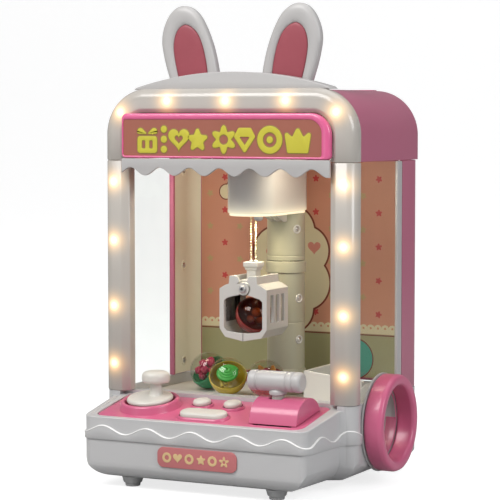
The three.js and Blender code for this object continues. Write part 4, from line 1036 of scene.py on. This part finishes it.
for nm, s in (("left", -1), ("right", 1)):
    cor = lambda r, n_, back: [(s * (WR - 18 + r * cos(t)), RY - 18 + r * sin(t)) for t in [((n_ - i) if back else i) / n_ * pi / 2 for i in range(n_ + 1)]]
    o = [(s * (WR - 4), 101.5), (s * WR, 101.5), *cor(18, 18, False), (s * 88, RY), (s * 88, RY - 2.5), *cor(15.5, 14, True), (s * (WR - 2.5), 104), (s * (WR - 4), 104)]
    if area(o) < 0:
        o = list(reversed(o))
    done(prism("Z", o, 68.5, 253.0, bevel=0.45, seg=2), "post_rear_" + nm, "pink", rep="rear_post_" + nm, angle=50)
    # clear pane, and a white glazing strip on the right side
    win = rect(13.2, 68.4, 101, 252.8, 1.2, 4)
    pane = prism("X", win, min(s * 104.8, s * 105.8), max(s * 104.8, s * 105.8))
    if s > 0:
        pane = boolean(pane, rodX(*RC, 30.4, 90, 130))
    done(pane, "pane_" + nm, "glass", rep="window_" + nm)
    if s > 0:
        st = prism("X", rect(92, 68.5, 101, 252.7, 0.8, 4), min(s * 104.1, s * 106.5), max(s * 104.1, s * 106.5), bevel=0.5, seg=3)
        done(st, "pane_strip_" + nm, "white2", angle=50)
    # inner liner of the rear post
    lin = [(s * 103.75, 104.2)] + [(s * (WR - 18 + 15.2 * cos(t)), RY - 18 + 15.2 * sin(t)) for t in [pi / 2 * i / 24 for i in range(0, 17)]]
    lin2 = [(s * 103.3, 104.2)] + [(s * (WR - 18 + 14.75 * cos(t)), RY - 18 + 14.75 * sin(t)) for t in [pi / 2 * i / 24 for i in range(0, 17)]]
    lo_ = lin + list(reversed(lin2))
    if area(lo_) < 0:
        lo_ = list(reversed(lo_))
    done(prism("Z", lo_, 69, 252.6), "liner_" + nm, "liner", angle=40)
    for k, z in enumerate((79, 161, 242)):
        rim = lathe(soften([(3.0, 0), (3.0, 0.5), (3.7, 0.75), (4.4, 0.4), (4.5, 0)], 0.2), (s * 103.35, 121.0, z), (-s, 0, 0), n=48)
        done(rim, f"boss_rim_{nm}_{k}", "liner")
        screw_head((s * 103.35, 121.0, z), (-s, 0, 0), 2.3, 0.8, f"liner_screw_{nm}_{k}")

door = from_cad("rear_door", "door_shell", "pink", bevel=0.7)
for k, (x, z) in enumerate(((-80, 90), (80, 90), (-80, 232), (80, 232))):
    rim = lathe(soften([(2.9, -0.2), (2.9, 0.45), (3.6, 0.8), (4.6, 0.5), (4.9, -0.2)], 0.25), (x, RY, z), (0, 1, 0), n=48)
    done(rim, f"door_boss_{k}", "pink", "door")
    screw_head((x, RY - 0.1, z), (0, 1, 0), 2.3, 0.8, f"door_screw_{k}", "door")
ribs = []
for k in range(7):
    z = 196 + k * 5.2
    ribs.append(prism("Y", rect(-24, z, 24, z + 2.2, 1.05, 5), RY - 0.3, RY + 0.7, bevel=0.0, bevel_b=0.4, seg=3))
done(join(ribs), "door_ribs", "pink", "door", angle=50)
fr = prism("Y", rect(-83, 73.5, 83, 248, 6, 8), RY - 0.2, RY + 0.45, bevel=0, bevel_b=0.3, holes=[rect(-79.4, 77.1, 79.4, 244.4, 4, 8)], seg=2)
done(fr, "door_bead", "pink", "door", angle=50)

# printed backdrop: panel plus thin printed layers
done(prism("Y", rect(-95, 71.5, 86.8, 251.3, 0.6, 3), 138, 139.2), "backdrop", "card", "door", "backdrop_panel")
YB = 138.0
LAY = [0.0]


def printed(pts_list, name, mat, lift):
    bm = bmesh.new()
    for pts in pts_list:
        holes = []
        if isinstance(pts, dict):
            holes = pts["holes"]; pts = pts["pts"]
        loops = [pts, *holes]
        if not holes:
            vs = [bm.verts.new(W(p[0], YB - lift, p[1])) for p in (pts if area(pts) > 0 else reversed(pts))]
            bm.faces.new(vs)
        else:
            es = []
            for lp in loops:
                vs = [bm.verts.new(W(p[0], YB - lift, p[1])) for p in lp]
                for i in range(len(vs)):
                    es.append(bm.edges.new((vs[i], vs[(i + 1) % len(vs)])))
            bmesh.ops.triangle_fill(bm, use_beauty=True, edges=es)
    bmesh.ops.recalc_face_normals(bm, faces=bm.faces)
    for f in bm.faces:
        if f.normal.y > 0:
            f.normal_flip()
    # thin solid layer
    r_ = bmesh.ops.extrude_face_region(bm, geom=list(bm.faces))
    moved = [g for g in r_["geom"] if isinstance(g, bmesh.types.BMVert)]
    for v in moved:
        v.co.y += (lift - 0.01) * MM
    bmesh.ops.recalc_face_normals(bm, faces=bm.faces)
    me = bpy.data.meshes.new(name); bm.to_mesh(me); bm.free()
    o = bpy.data.objects.new(name, me); COL.objects.link(o)
    return done(o, name, mat, "door", angle=30, weld=False)


BX0, BX1, BZ0, BZ1 = -94.6, 86.4, 71.9, 250.9
printed([rect(BX0, BZ0, BX1, 108, 0)], "print_ground", "card_low", 0.05)
# scalloped lace band
band = [(BX1, 108.2), (BX1, 113.4)]
k_ = int((BX1 - BX0) / 6.4)
for i in range(k_):
    x1_ = BX1 - i * (BX1 - BX0) / k_
    w_ = (BX1 - BX0) / k_
    for j in range(9):
        a = pi * j / 8
        band.append((x1_ - w_ / 2 + w_ / 2 * cos(a), 113.4 + 2.6 * sin(a)))
band += [(BX0, 113.4), (BX0, 108.2)]
holes_ = [circ(BX0 + (i + 0.5) * (BX1 - BX0) / k_, 113.0, 1.0, 12) for i in range(k_)]
printed([dict(pts=band, holes=[list(reversed(h)) for h in holes_])], "print_lace", "card_cream", 0.09)
printed([rect(BX0, 106.6, BX1, 107.6, 0)], "print_line", "print_brown", 0.08)
fr_, fc_ = [], []
for i in range(-12, 3):
    x = 70.7 + i * 14.3
    red = i % 2 == 0
    for j in range(6):
        z = 124.5 + j * 28.0 + (0 if red else 14.0)
        if not 119 < z < 248 or not BX0 + 4 < x < BX1 - 3:
            continue
        (fr_ if red else fc_).append(flower(x, z, 3.1, 5, 0.22, 40, a0=0.4 * ((i * 7 + j * 3) % 5)))
printed(fr_, "print_red_flowers", "print_red", 0.08)
printed(fc_, "print_pale_flowers", "print_pale", 0.08)


def cloud(cx, cz, w, h, puff, grow=0.0, n=220):
    """outline of a cloud: the outer reach of several circles seen from the centre"""
    out = []
    for i in range(n):
        a = 2 * pi * i / n
        best = 0
        for px, pz, pr in puff:
            d = Vector((px, pz)); u = Vector((cos(a), sin(a)))
            b_ = u.dot(d); q_ = (pr + grow) ** 2 - (d.length_squared - b_ * b_)
            if q_ >= 0:
                best = max(best, b_ + math.sqrt(q_))
        out.append((cx + best * cos(a), cz + best * sin(a)))
    return out


puff = [(0, 31, 21), (-14, 13, 21), (14, 15, 20), (-11, -14, 24), (12, -12, 23), (0, -34, 20), (0, 0, 24)]
c1, c2 = cloud(-9, 161, 0, 0, puff, 1.6), cloud(-9, 161, 0, 0, puff, 0)
clampx = lambda P_: [(min(x, BX1), z) for x, z in P_]
printed([clampx(c1)], "print_cloud_line", "print_brown", 0.12)
printed([clampx(c2)], "print_cloud", "card_cream", 0.15)
printed([heart(-27, 172, 6), heart(12, 178, 6)], "print_hearts", "print_rose", 0.18)
pf2 = [(0, 0, 9), (-9, -2, 6), (9, -2, 6.5)]
printed([cloud(-62, 226, 0, 0, pf2, 1.0, 120)], "print_small_lines", "print_brown", 0.12)
printed([cloud(-62, 226, 0, 0, pf2, 0, 120)], "print_small_clouds", "card_cream", 0.15)
printed([circ(49, 87, 17.4, 72)], "print_ball_line", "print_brown", 0.12)
printed([circ(49, 87, 16.4, 72)], "print_ball", "print_teal", 0.15)
# light crescent on the printed ball: painted highlight
printed([[(49 + 12.4 * cos(t), 87 + 12.4 * sin(t)) for t in [1.9 + 1.3 * i / 16 for i in range(17)]] + [(49 + 9.4 * cos(t), 87 + 9.4 * sin(t)) for t in [3.2 - 1.3 * i / 16 for i in range(17)]]], "print_ball_shine", "card_cream", 0.18)

# ------------------------------------------------------------------ crane
TX, TY = 1.6, 105.0
tw = soften([(13.4, 60.2), (18.6, 60.2), (18.6, 63.6), (17.4, 64.2), (16.8, 64.6), (16.8, 78.6), (16.5, 79.2), (16.5, 79.8), (16.0, 80.4), (15.6, 80.6), (15.6, 118.6), (15.25, 118.8), (15.25, 119.6), (15.6, 119.8), (15.6, 159.6), (16.2, 160.0), (16.8, 160.2), (16.8, 169.2), (16.4, 169.6), (13.4, 169.6)], 0.35, 3, closed=True)
done(lathe(tw, (TX, TY, 0), n=128, closed=True), "tower", "tower", rep="tower_tube", angle=50)
for k, (z, a) in enumerate(((105, -0.35), (139, -0.35), (196, -0.5))):
    ax = (cos(a), sin(a), 0)
    c = (TX + 15.5 * ax[0], TY + 15.5 * ax[1], z)
    rim = lathe(soften([(2.2, -0.6), (2.2, 0.3), (2.8, 0.7), (3.6, 0.5), (3.9, -0.6)], 0.2), c, ax, n=40)
    done(rim, f"tower_boss_{k}", "arm", "cabinet" if z < 170 else "arm")
    screw_head((c[0], c[1], z), ax, 1.9, 0.6, f"tower_screw_{k}", "cabinet" if z < 170 else "arm")


def lobe(f, r, n_=48):
    d = math.hypot(TY - 48, TX)
    ang, base, p = math.acos((f - r) / d), math.atan2(48 - TY, -TX), []
    for i in range(n_ + 1):
        a = base - ang + 2 * ang * i / n_
        p.append((f * cos(a), 48 + f * sin(a)))
    for i in range(n_ + 1):
        a = base + ang + (2 * pi - 2 * ang) * i / n_
        p.append((TX + r * cos(a), TY + r * sin(a)))
    return p


LV = [(-2.4, 209.0), (-1.6, 209.1), (-1.25, 209.5), (-1.25, 210.9), (-0.9, 211.1), (-0.3, 211.5), (0, 212.2), (0, 261.2), (-0.8, 262), (-2.2, 262), (-2.2, 256)]
ah = loft([[(p[0], p[1], z) for p in lobe(20.5 + d, 17 + d)] for d, z in LV])
ah = boolean(ah, slab(-4.6, 45.6, 200, 4.6, 50.4, 263, 1.6))
done(ah, "arm_shell", "arm", "arm", "arm_housing", angle=42)
done(lathe(soften([(13.4, 170.1), (15.6, 170.1), (15.6, 173.5), (15.3, 173.7), (15.3, 174.3), (15.6, 174.5), (15.6, 209.2), (13.4, 209.2)], 0.4, closed=True), (TX, TY, 0), n=112, closed=True), "arm_sleeve", "tower", "arm", angle=50)
rb = []
for x in (-2.0, 3.6, 9.2):
    y1 = 90.2
    rb.append(prism("X", rounded([(70, 209.2), (y1, 209.2), (y1, 202.5), (84, 202.5), (73, 206.8)], [0, 0, 0.4, 3, 1.5], 5), x - 0.6, x + 0.6, bevel=0.25, seg=2))
done(join(rb), "arm_ribs", "arm", "arm", angle=50)
done(lathe(soften([(0, 205.6), (2.6, 205.6), (2.6, 206.5), (3.6, 206.7), (3.6, 208.9), (0, 208.9)], 0.35, 3), (10.5, 36, 0), n=64), "lamp_lens", "lens", "arm", "spot_lamp")

# ball chains, one bead mesh for both strands
beads = []
bmB = bmesh.new()
for sx_ in (-2.1, 2.1):
    z = 172.6 + (0.9 if sx_ > 0 else 0)
    k = 0
    while z < 241.5:
        mt = Matrix.Translation(W(sx_ + 0.10 * sin(k * 0.9), 48 + 0.10 * cos(k * 1.3), z))
        bmesh.ops.create_uvsphere(bmB, u_segments=14, v_segments=9, radius=0.00088, matrix=mt)
        z += 2.15; k += 1
me = bpy.data.meshes.new("beads"); bmB.to_mesh(me); bmB.free()
ob = bpy.data.objects.new("beads", me); COL.objects.link(ob)
done(ob, "chain_beads", "chain", "claw", "hoist_chain", weld=False)
done(join([tube([(x, 48, 172.4), (x, 48, 200), (x, 48, 241.8)], 0.32, 8) for x in (-2.1, 2.1)]), "chain_links", "chain", "claw")
done(join([lathe(soften([(0, 171.6), (1.9, 171.6), (1.9, 172.6), (1.2, 173.6), (0, 173.6)], 0.3), (x, 48, 0), n=32) for x in (-2.1, 2.1)]), "chain_ends", "steel", "claw")

# ------------------------------------------------------------------ claw
from_cad("claw_head", "claw_hub", "warm", bevel=0.7, seg=3)
from_cad("jaw_left", "jaw_l", "arm", bevel=0.38, angle=30)
from_cad("jaw_right", "jaw_r", "arm", bevel=0.38, angle=30)
o = lathe(soften([(0, 27.2), (2.4, 27.3), (3.0, 28.0), (3.0, 29.1), (1.5, 29.1), (1.5, 68.9), (3.0, 68.9), (3.0, 70.0), (2.5, 70.4), (0, 70.4)], 0.3), (0, 0, 151.5), (0, 1, 0), n=48)
done(o, "pivot_screw", "steel", "claw", "claw_screw")
hx_ = prism("Y", [(1.3 * cos(pi / 3 * i), 151.5 + 1.3 * sin(pi / 3 * i)) for i in range(6)], 26.9, 27.25, bevel=0.05, seg=1)
done(hx_, "pivot_hex", "dark", "claw")


# ------------------------------------------------------------------ capsules: coloured cup, clear dome, small toys inside
def frame_of(c, axis):
    ax = Vector(axis).normalized()
    return Vector(c), ax


def capsule(tag, c, axis, r, cup, dome, body, node, toys):
    C, ax = frame_of(c, axis)
    n_ = 28
    prof = [(r * sin(t), -r * cos(t)) for t in [pi / 2 * i / n_ for i in range(n_ + 1)]]
    prof_in = [((r - 1.1) * sin(t), -(r - 1.1) * cos(t)) for t in [pi / 2 * i / n_ for i in range(n_, -1, -1)]]
    ribs_ = prof[:18] + [(prof[18][0] + 0.0, prof[18][1])] + prof[19:]
    body_ = lathe(ribs_ + [(r - 0.0, 1.2), (r - 0.8, 1.2)] + prof_in, C, ax, n=96)
    o = done(body_, tag + "_cup", cup, body, node, angle=50)
    rim = lathe(soften([(r - 0.6, -1.3), (r + 0.15, -1.3), (r + 0.2, 0.4), (r - 0.1, 1.5), (r - 0.6, 1.5)], 0.3, closed=True), C, ax, n=96, closed=True)
    done(rim, tag + "_rim", cup, body, angle=50)
    rd = r - 0.25
    dm = [(rd * cos(t), 1.3 + (rd - 1.3) * sin(t)) for t in [pi / 2 * i / n_ for i in range(n_ + 1)]]
    dmi = [((rd - 0.6) * cos(t), 1.3 + (rd - 1.9) * sin(t)) for t in [pi / 2 * i / n_ for i in range(n_, -1, -1)]]
    done(lathe(dm + dmi, C, ax, n=96, closed=False), tag + "_dome", dome, body, angle=60)
    toys(C, ax)


def local(C, ax):
    s = ax.orthogonal().normalized(); w = ax.cross(s)
    return lambda a, b, h: tuple(C + s * a + w * b + ax * h)


def berries(tag, body, mat):
    def make(C, ax):
        L = local(C, ax); obs = []
        for k in range(9):
            a = 2 * pi * k / 9 * 1.0
            rr, hh = (7.6, 2.2) if k % 2 else (6.4, 6.2)
            p = L(rr * cos(a), rr * sin(a), hh - 1.0)
            ra = 3.1
            base_ = ball(p, ra, 12)
            obs.append(base_)
            for j in range(14):      # small lobes over each berry
                t, u = math.acos(1 - 2 * (j + 0.5) / 14), j * 2.4
                obs.append(ball(tuple(Vector(p) + Vector((sin(t) * cos(u), sin(t) * sin(u), cos(t))) * ra * 0.78), ra * 0.42, 7))
        obs.append(ball(L(0, 0, 7.6), 3.4, 14))
        done(join(obs), tag + "_toys", mat, body, weld=False, angle=60)
    return make


def spiral(tag, body, mat, mat2):
    def make(C, ax):
        L = local(C, ax)
        pth = [L((8.6 - i * 0.085) * cos(i * 0.30), (8.6 - i * 0.085) * sin(i * 0.30), 2.6 + i * 0.062) for i in range(92)]
        done(tube(pth, 1.55, 12), tag + "_coil", mat, body, angle=60)
        bars = []
        for k in range(3):
            a = L(-9 + k * 3.4, -8.2, -1.0 + k); b = L(-2 + k * 3.4, 9.2, -1.8 + k)
            bars.append(tube([a, tuple(Vector(a).lerp(Vector(b), 0.5)), b], 1.5, 12))
        done(join(bars), tag + "_sticks", mat2, body, angle=60)
    return make


def petals(tag, body, mat, mat2):
    def make(C, ax):
        L = local(C, ax); obs = []
        for k in range(5):
            a = 2 * pi * k / 5
            pth = [L((2.0 + 7.2 * sin(t)) * cos(a + 0.35 * t), (2.0 + 7.2 * sin(t)) * sin(a + 0.35 * t), -3 + 10.5 * t / 1.5) for t in [1.5 * i / 12 for i in range(13)]]
            obs.append(tube(pth, 2.2, 12, rs=[0.8 + 2.2 * sin(pi * min(1, (i + 1) / 13.5)) for i in range(13)]))
        done(join(obs), tag + "_petals", mat, body, angle=60)
        done(ball(L(0, 0, 4.5), 3.8, 20), tag + "_core", mat2, body, angle=60)
    return make


capsule("capsule_g", (-63, 90, 76), (-0.35, -0.55, 0.75), 15.6, "c_green", "dome", "cabinet", "capsule_green", berries("capsule_g", "cabinet", "toy_pink"))
capsule("capsule_y", (-31.6, 64.7, 76), (0.25, -0.60, 0.76), 15.6, "c_yellow", "dome", "cabinet", "capsule_yellow", spiral("capsule_y", "cabinet", "toy_green", "toy_gold"))
capsule("capsule_r", (2, 66.4, 76), (0.1, -0.35, 0.93), 15.6, "c_red", "dome", "cabinet", "capsule_red", petals("capsule_r", "cabinet", "toy_orange", "toy_pink"))
capsule("capsule_h", (0, 49, 129), (0.62, -0.45, 0.55), 15.0, "c_dark", "dome_brown", "claw", "held_capsule", petals("capsule_h", "claw", "toy_brown", "toy_orange"))

# ------------------------------------------------------------------ hidden and underside parts
from_cad("hoist_spool", "spool_drum", "warm", bevel=0.3)
from_cad("turn_gear", "turn_gear_wheel", "warm", bevel=0.2)
from_cad("pinion", "pinion_wheel", "warm", bevel=0.2)
from_cad("turn_motor", "motor_can", "steel", bevel=0.4)
from_cad("main_board", "circuit_board", "board", bevel=0.15)
from_cad("speaker", "speaker_unit", "dark", bevel=0.4)
from_cad("battery_tray", "cell_tray", "white2", bevel=0.4)
from_cad("battery_cover", "cell_cover", "white2", bevel=0.5)
from_cad("power_switch", "switch_knob", "dark", bevel=0.4)
screw_head((-38, 108, 8.25), (0, 0, -1), 2.2, 0.35, "cover_screw")

# ------------------------------------------------------------------ floor, light, camera
# one sheet: flat floor that curves up behind the object
bm = bmesh.new()
prof = [(-4.0, 0.0)] + [(2.6, 0.0)] + [(2.6 + 1.2 * sin(t), 1.2 - 1.2 * cos(t)) for t in [pi / 2 * i / 16 for i in range(1, 17)]] + [(3.8, 4.5)]
rows = []
for y, z in prof:
    rows.append([bm.verts.new((x, y, z)) for x in (-5.0, 5.0)])
for a, b in zip(rows, rows[1:]):
    bm.faces.new((a[0], a[1], b[1], b[0]))
bmesh.ops.recalc_face_normals(bm, faces=bm.faces)
me = bpy.data.meshes.new("studio_floor"); bm.to_mesh(me); bm.free()
fl = bpy.data.objects.new("studio_floor", me); COL.objects.link(fl)
for p in me.polygons:
    p.use_smooth = True
fm = plastic("studio_paper", (0.36, 0.36, 0.36), 0.9, 0.01, bump=0.0, wear=0.0, sheen_dust=0.0, spec=0.1)
fb = fm.node_tree.nodes["Principled BSDF"]
fb.inputs["Emission Color"].default_value = (1, 1, 1, 1)
fb.inputs["Emission Strength"].default_value = 0.78
me.materials.append(fm)
only = bpy.data.collections.new("floor_only"); only.objects.link(fl)
fl.light_linking.receiver_collection = only

wd = bpy.data.worlds.new("studio"); bpy.context.scene.world = wd
wd.use_nodes = True
wd.node_tree.nodes["Background"].inputs["Color"].default_value = (0.96, 0.98, 1.0, 1)
wd.node_tree.nodes["Background"].inputs["Strength"].default_value = 0.30


def area_light(name, loc, target, sx_, sy_, power, color=(1, 1, 1)):
    l = bpy.data.lights.new(name, "AREA"); l.shape = "RECTANGLE"; l.size = sx_; l.size_y = sy_; l.energy = power; l.color = color
    o = bpy.data.objects.new(name, l); o.location = loc
    o.rotation_mode = "QUATERNION"
    o.rotation_quaternion = (Vector(target) - Vector(loc)).to_track_quat("-Z", "Y")
    COL.objects.link(o)
    return o


area_light("key", (-0.5, -1.2, 1.5), (0, 0, 0.15), 1.1, 0.9, 26.0, (1.0, 0.99, 0.97))
area_light("top", (0.1, 0.25, 1.5), (0, 0, 0.2), 1.0, 1.0, 4.0)
area_light("side", (1.7, -0.6, 1.0), (0, 0, 0.15), 0.8, 0.9, 14.0, (0.98, 0.99, 1.0))
area_light("low_front", (-0.9, -1.5, 0.35), (0, 0, 0.12), 0.7, 0.4, 0.8)
area_light("behind_sign_r", W(62, 36, 250), W(50, 135, 130), 0.05, 0.03, 0.055, (1.0, 0.90, 0.72))
area_light("behind_sign_l", W(-66, 36, 250), W(-80, 135, 130), 0.04, 0.03, 0.06, (1.0, 0.90, 0.72))


def spot(name, p, tgt, power, color, size=2.2, radius=0.003, blend=0.6, body=None):
    l = bpy.data.lights.new(name, "SPOT"); l.energy = power; l.color = color; l.spot_size = size; l.spot_blend = blend; l.shadow_soft_size = radius
    o = bpy.data.objects.new(name, l); o.location = W(*p)
    o.rotation_mode = "QUATERNION"
    o.rotation_quaternion = (W(*tgt) - W(*p)).to_track_quat("-Z", "Y")
    COL.objects.link(o)
    return o


spot("arm_lamp", (7, 44, 203.5), (5, 52, 100), 0.12, (1.0, 0.88, 0.60), 2.7, 0.004)
spot("inner_warm", (0, 60, 250), (0, 80, 60), 0.07, (1.0, 0.86, 0.62), 2.6, 0.03)

cam = bpy.data.cameras.new("camera"); co = bpy.data.objects.new("camera", cam); COL.objects.link(co)
AZ, EL = math.radians(26.73), math.radians(3.8)
back = Vector((sin(AZ) * cos(EL), -cos(AZ) * cos(EL), sin(EL)))
co.location = (0.70353, -1.41376, 0.28673)
co.rotation_mode = "QUATERNION"
co.rotation_quaternion = (-back).to_track_quat("-Z", "Y")
cam.lens, cam.sensor_width = 142.85, 36
cam.clip_start, cam.clip_end = 0.05, 50
cam.dof.use_dof = False
sc_ = bpy.context.scene
sc_.camera = co
sc_.view_settings.view_transform = "Standard"
sc_.view_settings.look = "None"

bpy.context.view_layer.update()
